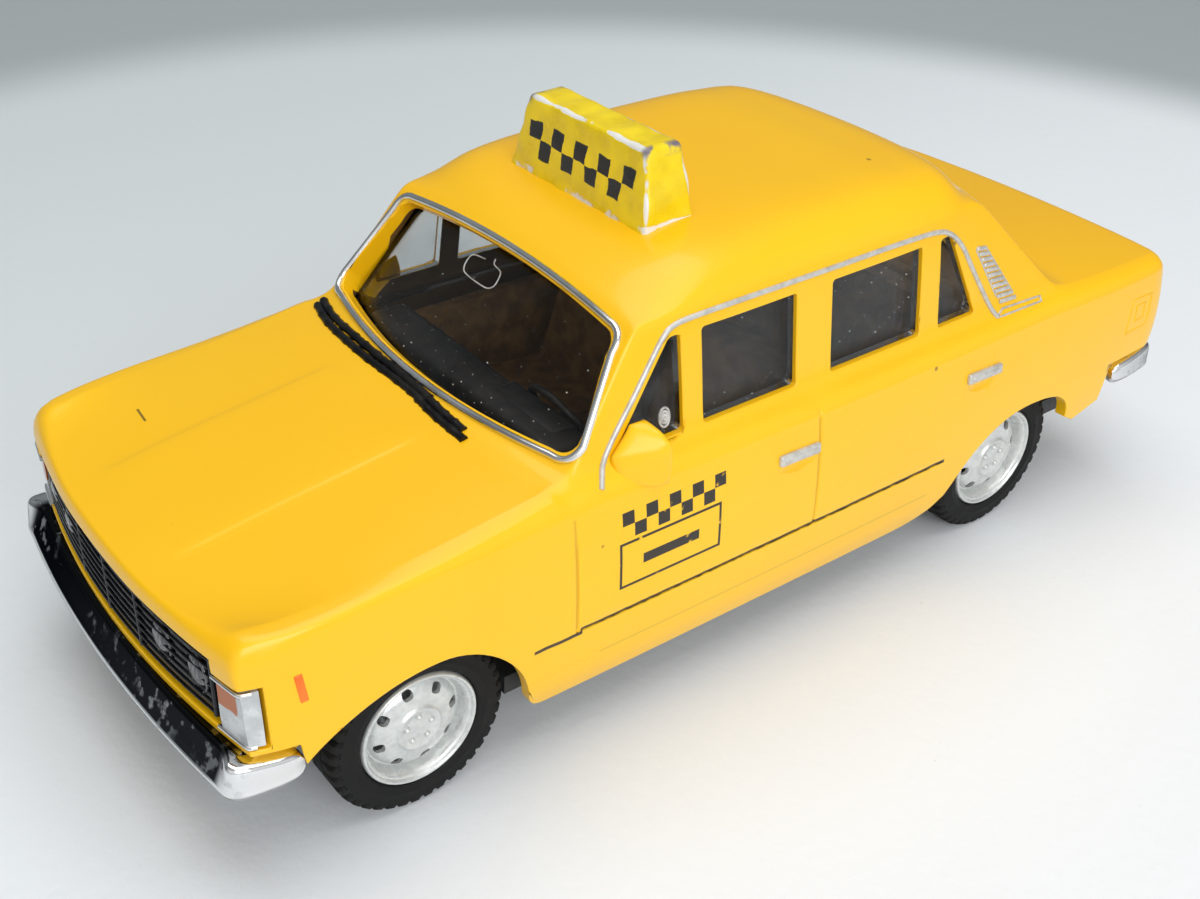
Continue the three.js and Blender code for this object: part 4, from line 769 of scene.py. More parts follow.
# Silver trim: the cast drip rails, belt bars, handles and pillar louvres, touched in with silver paint by brush,
# and the bright foil line round the windscreen. They stand a little out of the casting, as do the edges of the
# fuel flap, which stay yellow.
silver = Finish("silver_paint", Metallic=0.35)
flake = silver.cloud(1500.0)
silver.colour(flake["Share"], (0.5, 0.49, 0.46), (0.64, 0.63, 0.6))
silver.rough(silver.cloud(400.0)["Height"], 0.26, 0.42)
silver.bump(flake["Height"], 0.03)
foil = Finish("bright_foil", Metallic=1.0).clouded(260.0, (0.7, 0.7, 0.7), (0.88, 0.88, 0.88), (0.08, 0.24))


def bead(bm, points, radius, closed=False, swell=None):
    curve = bpy.data.curves.new("bead", "CURVE")
    curve.dimensions = "3D"
    curve.bevel_depth, curve.bevel_resolution, curve.use_fill_caps = radius * mm, 2, True
    spline = curve.splines.new("POLY")
    spline.points.add(len(points) - 1)
    spline.use_cyclic_u = closed
    for i, (spot, point) in enumerate(zip(spline.points, points)):
        spot.co = (*(mm * point), 1)
        spot.radius = swell(i) if swell else 1
    drawn = bpy.data.objects.new("bead", curve)
    scene.collection.objects.link(drawn)
    mesh = bpy.data.meshes.new_from_object(drawn.evaluated_get(bpy.context.evaluated_depsgraph_get()))
    bm.from_mesh(mesh)
    bpy.data.objects.remove(drawn)
    bpy.data.meshes.remove(mesh)


def between(points, count, closed=False):
    points = points + points[:1] if closed else points
    return [Vector(a).lerp(Vector(b), k / count) for a, b in zip(points, points[1:]) for k in range(count)]


def flowing(points, count):
    points = [Vector(p) for p in points]
    ends = [2 * points[0] - points[1]] + points + [2 * points[-1] - points[-2]]
    drawn = []
    for i in range(len(points) - 1):
        a, b, c, d = ends[i:i + 4]
        for t in (k / count for k in range(count)):
            square, cube = (2 * a - 5 * b + 4 * c - d) * t * t, (3 * b - a - 3 * c + d) * t ** 3
            drawn.append(0.5 * (2 * b + (c - a) * t + square + cube))
    return drawn + [points[-1]]


def flank_line(points, side, proud=0.0):
    return [on_flank(x, z, side, proud)[0] for x, z in points]


drip_points = [(17.8, 21.6), (15.86, 24.15), (13.83, 26.6), (12.0, 28.97), (11.1, 30.05), (10.3, 30.6), (8.6, 30.85),
               (3.8, 30.95), (-4, 30.9), (-10, 30.9), (-14, 30.8), (-16.2, 30.6), (-17.4, 30.25), (-18.4, 29.6),
               (-19.4, 28.5), (-20.4, 26.85), (-21.75, 24.65), (-23.5, 21.9)]
belt_bar = [(-23.5, 21.85), (-29.05, 21.75), (-29.2, 22.05), (-24.4, 22.25)]
rails = bmesh.new()
for _, side in sides:
    bead(rails, flank_line(flowing(drip_points, 5), side), 0.22)
    bead(rails, flank_line(between(belt_bar, 8, True), side), 0.1, closed=True)
dressed("drip_rail_trim", rails, silver, "rim_silver")

surround = bmesh.new()
outline, screen_place = screen_outline(*screen_corners, screen_frame - 0.42, 0.45)
screen_normal = (screen_place(0, 0, 1) - screen_place(0, 0, 0)).normalized()
bead(surround, [struck(skin_tree, screen_place(a, b, 9), -screen_normal)[0] for a, b in outline], 0.3, closed=True)
dressed("screen_surround_trim", surround, foil, "rim_silver")


def bar(bm, spot, normal, along, size, round_edge):
    spot, normal = Vector(spot), Vector(normal)
    made = bmesh.ops.create_cube(bm, size=1)["verts"]
    edges = list({e for v in made for e in v.link_edges})
    side_way = normal.cross(Vector(along)).normalized()
    long_way = side_way.cross(normal)
    for vert in made:
        a, b, c = vert.co
        vert.co = mm * (spot + a * size[0] * long_way + b * size[1] * side_way + c * size[2] * normal)
    bm.normal_update()
    bmesh.ops.bevel(bm, geom=edges, offset=round_edge * mm, affect="EDGES", segments=3, profile=0.5, material=-1)


handles = bmesh.new()
for _, side in sides:
    for x in (-0.3, -21.1):
        for size, round_edge in (((4.1, 0.9, 0.5), 0.2), ((3.4, 0.42, 0.72), 0.16)):
            bar(handles, *on_flank(x, 18.15, side, 0.1), (1, 0, 0.03), size, round_edge)
dressed("door_handles", handles, silver, "rim_silver")

louvres = bmesh.new()
louvre_edges = [[(-21.1, 27.9), (-24.1, 22.8)], [(-22.4, 27.8), (-26.2, 22.8)]]
for _, side in sides:
    for i in range(11):
        (ax, az), (bx, bz) = ([lerp(a, b, i / 10) for a, b in zip(*edge)] for edge in louvre_edges)
        middle = on_flank((ax + bx) / 2, (az + bz) / 2, side, 0.02)
        bar(louvres, *middle, (ax - bx, 0, az - bz + 0.12), (ax - bx, 0.36, 0.34), 0.12)
    for edge in louvre_edges:
        bead(louvres, flank_line(between(edge, 8), side), 0.08)
dressed("pillar_louvres", louvres, silver, "rim_silver")

flap = bmesh.new()
for outline in ([(-41.6, 18.5), (-44.55, 18.35), (-44.2, 15.5), (-41.0, 15.5)],
                [(-42.3, 17.8), (-43.6, 17.75), (-43.5, 16.4), (-42.2, 16.4)]):
    bead(flap, flank_line(between(outline, 6, True), 1, -0.03), 0.1, closed=True)
dressed("fuel_flap_edges", flap, paint, "yellow_paint")

# Wipers: two cast arms along the foot of the windscreen, brushed over with black enamel that strays at its
# edges. Each arm is a pair of uneven beads laid on the cowl.
enamel = Finish("black_enamel", Roughness=0.3, Specular_IOR_Level=0.2)
enamel.clouded(600.0, (0.004, 0.004, 0.005), (0.014, 0.013, 0.012), bump=0.3, Low=0.4, High=0.75)
wipers = bmesh.new()
for line in ([(20.65, -15.4), (21.4, -12.3), (21.75, -8.5), (21.95, -5), (22.0, -1), (22.05, 3)],
             [(21.35, -15.1), (22.15, -12), (22.5, -8.5), (22.65, -5), (22.55, -1), (22.55, 3)],
             [(22.1, 2.4), (22.25, 5), (22.25, 7.6)], [(22.65, 2.2), (22.85, 5), (22.8, 8.5)]):
    points = [struck(skin_tree, (x, y, far), (0, 0, -1))[0] for x, y in flowing(line, 9)]
    bead(wipers, points, 0.4, swell=lambda i: 0.88 + 0.16 * sin(2.1 * i) * sin(0.7 * i + 1))
dressed("wiper_arms", wipers, enamel, "black_plastic")

# Glazing: one clear moulding that lines the roof and fills every window from inside, with flush side panes let
# into the openings. A mirror is outlined on the windscreen, a round mark is left on the left vent pane, and dust
# has settled on the panes.
glass = Finish("clear_moulding", Roughness=0.03, IOR=1.25, Transmission_Weight=1.0)
glass.clouded(120.0, (0.9, 0.91, 0.91), (0.76, 0.775, 0.78), Detail=4.0, Low=0.35)
glass.rough(glass.cloud(2600.0, Detail=2.0, Low=0.62, High=0.78)["Share"], 0.02, 0.22, 0.0, 1.0)
panes = cabin_shell(bmesh.new(), eased(40), eased(12), fine_grid["roof"], wall + 0.3)
pane_tree = BVHTree.FromBMesh(panes)
glazing = dressed("window_glazing_moulding", panes, glass, "clear_plastic", "window_glazing")
thick = glazing.modifiers.new("thickness", "SOLIDIFY")
thick.thickness, thick.offset = 0.6 * mm, -1

side_panes = None
for outline in windows:
    corners = [Vector(corner) for corner in outline]
    middle = sum(corners, Vector((0, 0))) / 4
    snug = [tuple(corner + 0.05 * (middle - corner).normalized()) for corner in corners]
    pane = added("tool", prism(snug, across_car, reach, window_corner))
    carved(pane, skin(0.32, rough_grid), "INTERSECT")
    carved(pane, skin(wall, rough_grid))
    if side_panes:
        carved(side_panes, pane, "UNION")
    else:
        side_panes = pane
dressed("side_window_panes", side_panes, glass, "clear_plastic", sharp=30)

frosted = Finish("frosted_mark", Roughness=0.45).clouded(1800.0, (0.3, 0.3, 0.29), (0.6, 0.6, 0.58))


def on_screen(y, rise):
    outside = struck(skin_tree, screen_place(y, rise, 9), -screen_normal)[0]
    return struck(pane_tree, outside, -screen_normal)[0]


def turns(count):
    return [2 * pi * k / count for k in range(count)]


mirror_line = [(-2.75, 10.5), (-4.15, 10.3), (-4.4, 9.75), (-4.2, 9.05), (-3.45, 8.75), (-1.05, 8.7), (-0.3, 9.05),
               (-0.25, 9.65), (-0.55, 10.3), (-1.55, 10.5), (-1.8, 10.9)]
marks = bmesh.new()
bead(marks, [on_screen(y, rise) for y, rise in flowing(mirror_line, 4)], 0.055)
for size, radius in ((1.0, 0.09), (0.62, 0.11), (0.25, 0.11)):
    ring = [(11.1 + 0.46 * size * cos(t), 24.15 + 0.7 * size * sin(t)) for t in turns(24)]
    bead(marks, flank_line(ring, 1, -0.3), radius, closed=True)
door_panes, screen_grains, all_grains = ((-1, 7.6), (-14.2, -5)), 90, 150
for k in range(all_grains):
    a, b, c = ((k * step) % 1 for step in (0.6180339, 0.7548776, 0.5698402))
    if k < screen_grains:
        spot = on_screen(lerp(-12.4, 12.4, a), 1.4 + 9.0 * b * b)
    else:
        spot = on_flank(lerp(*door_panes[k % 2], a), lerp(23.0, 29.6, b), 1 if k % 4 else -1, -0.3)[0]
    grain = bmesh.ops.create_icosphere(marks, subdivisions=1, radius=lerp(0.03, 0.075, c ** 3) * mm)["verts"]
    bmesh.ops.translate(marks, vec=mm * spot, verts=grain)
dressed("glazing_marks", marks, frosted, "clear_plastic")

# Interior: a brown moulded tray with two seats, a bench and a shelf behind it, a dark padded dashboard with a
# hood over its dials, and the steering wheel on its column. All of it is held between casting and base.
interior = Finish("interior_plastic", Roughness=0.5)
pores = interior.cloud(900.0)
tint = interior.mixed(pores["Share"], (0.01, 0.0085, 0.008), (0.024, 0.02, 0.018))
interior.colour(interior.times(interior.specks(900.0, 0.16, 0.86), 0.6), tint, (0.22, 0.21, 0.2))
interior.bump(pores["Height"], 0.3)
brown = Finish("brown_plastic", Roughness=0.55).clouded(700.0, (0.16, 0.08, 0.022), (0.26, 0.135, 0.04), bump=0.3)


def redressed(node, finish):
    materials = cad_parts[node].data.materials
    materials.clear()
    materials.append(finish.material)


def set_at(bm, verts, turn, place):
    bmesh.ops.rotate(bm, verts=verts, cent=(0, 0, 0), matrix=turn)
    bmesh.ops.translate(bm, verts=verts, vec=mm * Vector(place))


def peg(bm, count, low, high, depth, turn, place):
    made = bmesh.ops.create_cone(
        bm, cap_ends=True, segments=count, radius1=low * mm, radius2=high * mm, depth=depth * mm)
    set_at(bm, made["verts"], turn, place)


redressed("interior_tub", brown)
upward, rearward, leftward = (0, 0, 1), (-1, 0, 0), (0, 1, 0)
shelf = bmesh.new()
bar(shelf, (-27.9, 0, 21.2), upward, leftward, (28.6, 8.4, 0.7), 0.2)
bar(shelf, (-24.2, 0, 20.4), upward, leftward, (25.0, 2.4, 3.4), 0.9)
dressed("rear_shelf", shelf, brown, "interior_plastic")

dash = bmesh.new()
bar(dash, (16.35, 0, 20.7), upward, leftward, (25.6, 3.9, 2.4), 0.9)
bar(dash, (16.7, 0, 18.4), upward, leftward, (25.2, 3.2, 4.6), 0.4)
bar(dash, (15.6, 6.8, 21.3), upward, leftward, (8.0, 2.6, 1.4), 0.6)
bar(dash, (15.2, -0.4, 18.4), rearward, leftward, (4.2, 3.6, 0.8), 0.2)
bar(dash, (15.1, -8.0, 18.2), rearward, leftward, (7.2, 2.6, 0.4), 0.15)
for y in (4.6, 6.8, 9.0):
    peg(dash, 24, 0.85, 0.7, 0.5, Matrix.Rotation(-pi / 2, 3, "Y"), (14.95, y, 19.4))
dressed("padded_dashboard", dash, interior, "interior_plastic", "dashboard", sharp=50)


def ring_of(profile, steps, closed):
    bm = bmesh.new()
    verts = [bm.verts.new(mm * Vector((r, -w, 0))) for r, w in profile]
    loop = verts + verts[:1] if closed else verts
    edges = [bm.edges.new(pair) for pair in zip(loop, loop[1:])]
    bmesh.ops.spin(bm, geom=verts + edges, cent=(0, 0, 0), axis=(0, 1, 0), angle=2 * pi, steps=steps, use_merge=True)
    bmesh.ops.remove_doubles(bm, verts=bm.verts, dist=1e-7)
    bmesh.ops.recalc_face_normals(bm, faces=bm.faces)
    return bm


wheel_radius, grip = 3.42, 0.28
wheel = ring_of([(wheel_radius + grip * cos(t), grip * sin(t)) for t in turns(12)], 48, True)
for turn in (0.15, pi - 0.15):
    spoke = Vector((cos(turn), 0, -sin(turn)))
    bar(wheel, 1.9 * spoke + Vector((0, -0.1, 0)), (0, -1, 0), spoke, (3.2, 0.8, 0.3), 0.12)
lying = Matrix.Rotation(pi / 2, 3, "X")
peg(wheel, 24, 0.95, 0.7, 0.9, lying, (0, 0, 0))
peg(wheel, 20, 0.45, 0.45, 4.2, lying, (0, 2.1, 0))
facing = Matrix(((0, 0.866, 0.5), (-1, 0, 0), (0, -0.5, 0.866)))
set_at(wheel, wheel.verts, facing, (12.7, 6.8, 19.6))
dressed("steering_wheel_ring", wheel, interior, "interior_plastic", "steering_wheel", sharp=50)

# Grille: a gloss black plate, bowed like the nose, with thin bars across and five uprights. It is pushed into
# the opening of the nose from behind.
gloss_black = Finish("gloss_black_plastic", Specular_IOR_Level=0.3).clouded(
    800.0, (0.003, 0.003, 0.004), (0.012, 0.012, 0.013), (0.22, 0.4, 0.4, 0.8), Low=0.45, High=0.8)


def grille_bow(y):
    return nose_x - 0.85 - nose_bow * (y / end_half) ** 2


def spaced(low, high, count):
    return [lerp(low, high, k / count) for k in range(count + 1)]


plate_low, plate_high, plate_half, bar_half, bar_count = 12.9, 17.9, 14.1, 13.8, 7
grille = bmesh.new()
patch(grille, spaced(-plate_half, plate_half, 40), [plate_low, plate_high],
      lambda y, z: Vector((grille_bow(y), y, z)))
raised(grille, grille.faces[:], (-1.0 * mm, 0, 0))
for i in range(bar_count):
    z = lerp(plate_low, plate_high, (i + 0.5) / bar_count)
    bead(grille, [Vector((grille_bow(y) + 0.2, y, z)) for y in spaced(-bar_half, bar_half, 36)], 0.12)
for y in (-13.9, -4.9, 0, 4.9, 13.9):
    bead(grille, [Vector((grille_bow(y) + 0.12, y, z)) for z in (plate_low + 0.1, plate_high - 0.1)], 0.2)
dressed("front_grille_bars", grille, gloss_black, "black_plastic", "front_grille", sharp=50)

# Headlamps: four round domes that stand in the grille, moulded in dark glossy plastic with fine upright ribs,
# each turned from one profile and set in a thin ring of the same dark plastic.
lens = Finish("headlamp_lens", Metallic=0.4, Coat_Weight=0.6)
lens.clouded(500.0, (0.03, 0.031, 0.033), (0.1, 0.102, 0.105), (0.08, 0.2))
lens.bump(lens.math("SINE", lens.times(lens.spot()["Y"], 16.0)), 0.25)
dome_profile = [(0, 1.25), (0.5, 1.22), (0.95, 1.1), (1.25, 0.95), (1.42, 0.8), (1.5, 0.6), (1.5, 0)]
headlamp_z, ring_radius = 15.4, 1.58
rings = bmesh.new()
for hand, side in sides:
    for name, y in (("outer", 11.8), ("inner", 7.6)):
        x = grille_bow(y) - 0.9
        dome = ring_of(dome_profile, 40, False)
        set_at(dome, dome.verts, Matrix.Rotation(pi / 2, 3, "Z"), (x, side * y, headlamp_z))
        dressed(f"headlamp_{hand}_{name}_lens", dome, lens, "lamp_silver", f"headlamp_{hand}_{name}")
        ring = [(side * y + ring_radius * cos(t), headlamp_z + ring_radius * sin(t)) for t in turns(36)]
        bead(rings, [Vector((x + 0.85, *point)) for point in ring], 0.13, closed=True)
dressed("headlamp_rings", rings, lens, "bumper_plating")

# Corner lamps: clear blocks that wrap round the front corners, silvered, with an amber part painted in and bright
# edges above and below. A small amber marker is painted on each front wing behind them.
lamp_silver = Finish("corner_lamp_silver", Metallic=0.2, Coat_Weight=0.15)
spot = lamp_silver.spot()
brushed = lamp_silver.cloud(700.0)
stray = lamp_silver.times(lamp_silver.cloud(500.0)["Height"], 0.9)
along = lamp_silver.math("ADD", lamp_silver.math("ABSOLUTE", spot["Y"]), stray)
amber = lamp_silver.band(along, 10.0, 17.0, lamp_silver.math("ADD", spot["Z"], stray), 15.2, 20.0, 0.06)
silvered = lamp_silver.mixed(brushed["Share"], (0.45, 0.47, 0.48), (0.66, 0.68, 0.69))
lamp_silver.colour(amber, silvered, (0.42, 0.1, 0.004))
lamp_silver.rough(brushed["Height"], 0.15, 0.35)
lamp_silver.bump(brushed["Height"], 0.15)
plain_grid = dict(fine_grid, hood=eased(60, 1.6), cabin=eased(12), levels=sorted(
    [3.8, 6, 8.2, 10, 11.2, 13, 14, 15, 16, 17, 17.9, 18.6, 19.2, 19.7, 20.1, 20.4, 20.6] + step_edges))


def lamp_block(node, finish, slot, *limits):
    block = added("tool", skin(0.12, plain_grid))
    carved(block, box_tool(*limits), "INTERSECT")
    dressed(f"{node}_block", block, finish, slot, node, sharp=35)
    rounded(block, "soft_edges", 0.12, 50)


lamp_edges = bmesh.new()
for hand, side in sides:
    lamp_block(f"corner_lamp_{hand}", lamp_silver, "lamp_silver", lamp_x + 0.25, far,
               side * (grille_half + 0.3), side * far, lamp_low + 0.25, lamp_high - 0.25)
    for z in (lamp_low + 0.3, lamp_high - 0.3):
        line = []
        for turn in spaced(24, 64, 14):
            inward = Vector((-cos(radians(turn)), -side * sin(radians(turn)), 0))
            outside = Vector((42, side * 13, z)) - 20 * inward
            line.append(struck(skin_tree, outside, inward)[0] + 0.05 * inward)
        bead(lamp_edges, line, 0.16)
dressed("corner_lamp_edges", lamp_edges, foil, "bumper_plating")

amber_paint = Finish("amber_paint", Roughness=0.25).clouded(900.0, (0.86, 0.13, 0.004), (0.92, 0.19, 0.008))
markers = bmesh.new()
for _, side in sides:
    bar(markers, *on_flank(41.15, 16.3, side), (0.12, 0, 1), (2.1, 0.55, 0.16), 0.06)
dressed("side_markers", markers, amber_paint, "lamp_red")

# Tail lamps: clear red blocks let into the tail and round its corners, with an amber top and fine ribs, cut from
# the body's own lines. A plain bright frame lies round each on the tail.
red_lens = Finish("red_lens", Roughness=0.12, Coat_Weight=0.5)
spot = red_lens.spot()
red = red_lens.mixed(red_lens.cloud(300.0)["Share"], (0.36, 0.012, 0.008), (0.55, 0.03, 0.015))
amber = red_lens.band(red_lens.math("ABSOLUTE", spot["Y"]), 0.0, 30.0, spot["Z"], 17.6, 25.0)
red_lens.colour(red_lens.times(amber, 0.9), red, (0.7, 0.16, 0.012))
red_lens.bump(red_lens.math("SINE", red_lens.times(spot["Z"], 18.0)), 0.3)
frame_sides, frame_levels = (tail_inner + 0.2, 16.4), (tail_low + 0.85, tail_high - 0.55)
frame_corners = [(frame_sides[a], frame_levels[b]) for a, b in ((0, 0), (1, 0), (1, 1), (0, 1))]
tail_frames = bmesh.new()
for hand, side in sides:
    lamp_block(f"tail_lamp_{hand}", red_lens, "lamp_red", -far, -46.6,
               side * (tail_inner + 0.25), side * far, tail_low + 0.95, tail_high - 0.65)
    line = [struck(skin_tree, (-70, side * y, z), (1, 0, 0))[0] for y, z in between(frame_corners, 6, True)]
    bead(tail_frames, line, 0.11, closed=True)
dressed("tail_lamp_frames", tail_frames, foil, "bumper_plating")

# Bumpers: pressed bars with a leaning face over a double lower lip, turned round the corners into upright ends,
# plated bright and pitted, with a dark reflection painted into the front face. Two pegs on each go into the casting.
plating = Finish("bumper_plating", Metallic=1.0, Specular_Tint=(0.4, 0.4, 0.4))
spot = plating.spot()
behind = plating.math("LESS_THAN", spot["X"], 0.0)
height = plating.math("SUBTRACT", spot["Z"], plating.math("ADD", plating.times(behind, 1.25), 10.4))
on_face = plating.times(plating.spread(height, -0.62, -0.5), plating.spread(height, 1.6, 1.8, 1.0, 0.0))
on_ends = plating.spread(plating.math("ABSOLUTE", spot["Y"]), 15.9, 16.9)
# Painted reflection: the front face between its lips is painted near black, mirroring a dark room; the ends and the
# rear bar stay bright.
painted_dark_face = plating.times(on_face, plating.math("SUBTRACT", 1.0, plating.math("MAXIMUM", on_ends, behind)))
pits = plating.cloud(900.0, Detail=5.0, Low=0.56, High=0.66)
pitted = plating.math("MAXIMUM", pits["Share"], plating.specks(900.0, 0.2, 0.6))
worn = plating.times(pitted, plating.cloud(150.0, Low=0.42, High=0.66)["Share"])
face_reflection_tone = plating.mixed(painted_dark_face, (0.84, 0.84, 0.84), (0.022, 0.023, 0.025))
plating.colour(plating.times(worn, 0.75), face_reflection_tone, (0.55, 0.56, 0.57))
plating.rough(worn, 0.07, 0.55, 0.0, 1.0)
plating.bump(pits["Height"], 0.06)
bumper_section = [
    (-1.3, -1.28, -1.1), (-1.0, -1.42, -0.9), (-0.55, -1.45, -0.5), (-0.38, -1.4, -0.36), (-0.28, -1.28, -0.26),
    (-0.3, -1.14, -0.25), (-0.26, -1.08, -0.2), (-0.08, -0.96, -0.06), (0.0, -0.8, 0.0), (-0.02, -0.68, -0.01),
    (-0.1, -0.6, -0.03), (-0.14, -0.5, -0.05), (-0.48, 0.1, -0.06), (-0.82, 0.75, -0.1), (-1.0, 1.12, -0.16),
    (-1.08, 1.32, -0.26), (-1.22, 1.44, -0.45), (-1.5, 1.45, -0.8), (-2.55, 1.4, -1.5), (-2.55, 1.2, -1.5),
    (-1.6, 1.15, -1.1), (-1.36, 0.95, -1.05), (-1.36, -1.1, -1.1), (-1.3, -1.28, -1.1),
]
bumper_reach, bumper_bow, bumper_half, section_height = 48.02, 1.4, 18.42, 2.9


def bumper(end, wrap_x, z, height):
    half = [(wrap_x, bumper_half), (lerp(wrap_x, 46.6, 0.45), bumper_half), (46.35, 17.75),
            (bumper_reach - bumper_bow * 0.74, 15.2), (bumper_reach - bumper_bow * 0.2, 8.0)]
    path = flowing(half + [(bumper_reach, 0)] + [(x, -y) for x, y in reversed(half)], 8)
    count = len(path) - 1

    def place_at(i, k):
        ahead = (path[min(i + 1, count)] - path[max(i - 1, 0)]).normalized()
        outward = Vector((-ahead.y, ahead.x))
        from_tip = min(i, count - i)
        pinch = (0.5, 0.84, 0.96)[from_tip] if from_tip < 3 else 1.0
        turned = smoothstep(abs(path[i].y), 15.4, 18.0)
        tip = min(max((45.9 - path[i].x) / (45.9 - wrap_x), 0), 1)
        out, rise, upright_out = bumper_section[k]
        out = lerp(out, upright_out, turned)
        if rise > 0:
            rise *= lerp(1, 0.55, tip)
        spot = path[i] + outward * ((out + 0.5) * pinch - 0.5)
        return Vector((end * spot.x, end * spot.y, z + ((rise + 0.2) * pinch - 0.2) * height / section_height))

    bm = bmesh.new()
    patch(bm, list(range(count + 1)), list(range(len(bumper_section))), place_at)
    bmesh.ops.remove_doubles(bm, verts=bm.verts, dist=1e-6)
    bmesh.ops.holes_fill(bm, edges=[e for e in bm.edges if e.is_boundary], sides=0)
    for _, side in sides:
        peg(bm, 20, 0.7, 0.7, 3.0, Matrix.Rotation(pi / 2, 3, "Y"), (end * 45.4, side * 9, z))
    return bm


for name, *shape in (("front", 1, 41.4, 10.4, 2.9), ("rear", -1, 40.45, 11.65, 2.5)):
    dressed(f"{name}_bumper_bar", bumper(*shape), plating, "bumper_plating", f"{name}_bumper", sharp=50)

# Tyres: soft black rubber rings stretched over the rims, with a plain sidewall and lugs round both shoulders.
# Each is spun from one profile, and every fourth step of the spin is sunk to cut the lugs apart.
rubber = Finish("tyre_rubber", Specular_IOR_Level=0.25).clouded(
    500.0, (0.005, 0.005, 0.005), (0.013, 0.0125, 0.012), (0.6, 0.85), 0.15, Detail=4.0, Low=0.35, High=0.75)
tyre_radius, tyre_width, tyre_face = 6.92, 4.5, 17.0
lug_steps, lug_every, lug_deep, lug_from, lug_edges = 160, 4, 0.4, 6.3, (0.1, 1.45)
tyre_half = [
    (4.66, 0.32), (4.76, 0.14), (4.96, 0.05), (5.2, 0.05), (5.3, 0.0), (5.42, 0.0), (5.52, 0.06), (5.95, 0.08),
    (6.25, 0.1), (6.45, 0.13), (6.65, 0.2), (6.8, 0.32), (6.89, 0.5), (6.92, 0.75), (6.92, 1.5), (6.74, 1.56),
    (6.74, 1.74), (6.92, 1.8),
]
tyre_profile = tyre_half + [(r, tyre_width - w) for r, w in reversed(tyre_half)]
wheels = [(f"{end}_{hand}", f"{end}_wheelset", x, side)
          for end, x in (("front", axle_front), ("rear", axle_rear)) for hand, side in sides]


def wheel_place(bm, x, side):
    turn = Matrix.Rotation(0 if side > 0 else pi, 3, "Z")
    set_at(bm, bm.verts, turn, (x, side * tyre_face, tyre_radius))


for name, wheelset, x, side in wheels:
    tyre = ring_of(tyre_profile, lug_steps, True)
    for vert in tyre.verts:
        depth = -vert.co.y / mm
        out = (vert.co.x ** 2 + vert.co.z ** 2) ** 0.5 / mm
        step = round(atan2(vert.co.z, vert.co.x) / (2 * pi) * lug_steps)
        on_lug = any(lug_edges[0] < inward < lug_edges[1] for inward in (depth, tyre_width - depth))
        if out > lug_from and on_lug and step % lug_every == 0:
            vert.co.x *= 1 - lug_deep / out
            vert.co.z *= 1 - lug_deep / out
    wheel_place(tyre, x, side)
    dressed(f"tyre_{name}_ring", tyre, rubber, "tyre_rubber", f"tyre_{name}", rides=wheelset, sharp=40)

# Rims: pressed discs in a deep rim, with eight windows near the edge and a raised hub with five nuts, silver all
# over. Each is spun from one profile, its windows are cut through, and it is pressed on the end of an axle.
rim_silver = Finish("rim_silver", Metallic=0.5)
rim_silver.colour(rim_silver.cloud(2200.0, Detail=2.0)["Share"], (0.6, 0.62, 0.61), (0.7, 0.72, 0.71))
rim_silver.rough(rim_silver.cloud(300.0)["Height"], 0.24, 0.38)
rim_profile = [
    (0, 0.3), (0.5, 0.3), (1.0, 0.36), (1.3, 0.32), (1.5, 0.2), (1.68, 0.2), (1.8, 0.34), (1.95, 0.44), (2.3, 0.46),
    (2.8, 0.56), (3.2, 0.74), (3.42, 0.95), (3.55, 1.2), (3.62, 1.32), (3.74, 1.32), (3.82, 1.15), (3.92, 0.7),
    (4.02, 0.42), (4.12, 0.3), (4.22, 0.26), (4.28, 0.14), (4.36, 0.06), (4.48, 0.05), (4.56, 0.12), (4.6, 0.3),
    (4.6, 3.8), (4.2, 3.8), (4.2, 1.75), (3.75, 1.62), (3.3, 1.1), (2.6, 0.86), (1.8, 0.8), (1.8, 3.5), (0.0, 3.5),
]
hole_count, hole_circle, hole_size, hole_turn = 8, 3.02, 0.8, 0.2
nut_count, nut_circle, nut_radius = 5, 1.02, 0.24
for name, wheelset, x, side in wheels:
    disc = added("tool", ring_of(rim_profile, 72, False))
    holes = bmesh.new()
    for angle in turns(hole_count):
        turn = Matrix.Rotation(angle + hole_turn, 3, "Y")
        bar(holes, turn @ Vector((0, -1, hole_circle)), turn @ Vector((0, 1, 0)), turn @ Vector((1, 0, 0)),
            (hole_size, hole_size * 0.92, 4), 0.28)
    bmesh.ops.recalc_face_normals(holes, faces=holes.faces)
    carved(disc, holes)
    rim = bmesh.new()
    rim.from_mesh(disc.data)
    bpy.data.objects.remove(disc)
    for angle in turns(nut_count):
        nut = bmesh.ops.create_icosphere(rim, subdivisions=2, radius=nut_radius * mm)["verts"]
        spot = Matrix.Rotation(angle, 3, "Y") @ Vector((0, -0.3, nut_circle))
        bmesh.ops.translate(rim, verts=nut, vec=mm * spot)
    wheel_place(rim, x, side)
    pressed = dressed(f"rim_{name}_disc", rim, rim_silver, "rim_silver", f"rim_{name}", rides=wheelset, sharp=38)
    rounded(pressed, "soft_edges", 0.04, 60)

# Axles and base screws: plain bright steel, turned and left bare. The axles run in the ears of the base, and the
# screws go up through it into the posts of the casting. Both keep the shape of their solids.
steel = Finish("bare_steel", Metallic=1.0).clouded(
    1800.0, (0.42, 0.42, 0.43), (0.6, 0.6, 0.61), (0.22, 0.42), Detail=2.0)
for node in ("axle_front", "axle_rear", "base_screw_front", "base_screw_rear"):
    redressed(node, steel)

# Base: a flat moulded tray of black plastic under the car, with ears for the axles, held by two screws. It keeps
# the shape of its solid.
base_plastic = Finish("base_plastic").clouded(
    1200.0, (0.012, 0.012, 0.013), (0.024, 0.024, 0.025), (0.4, 0.6), 0.2)
redressed("base_plate", base_plastic)

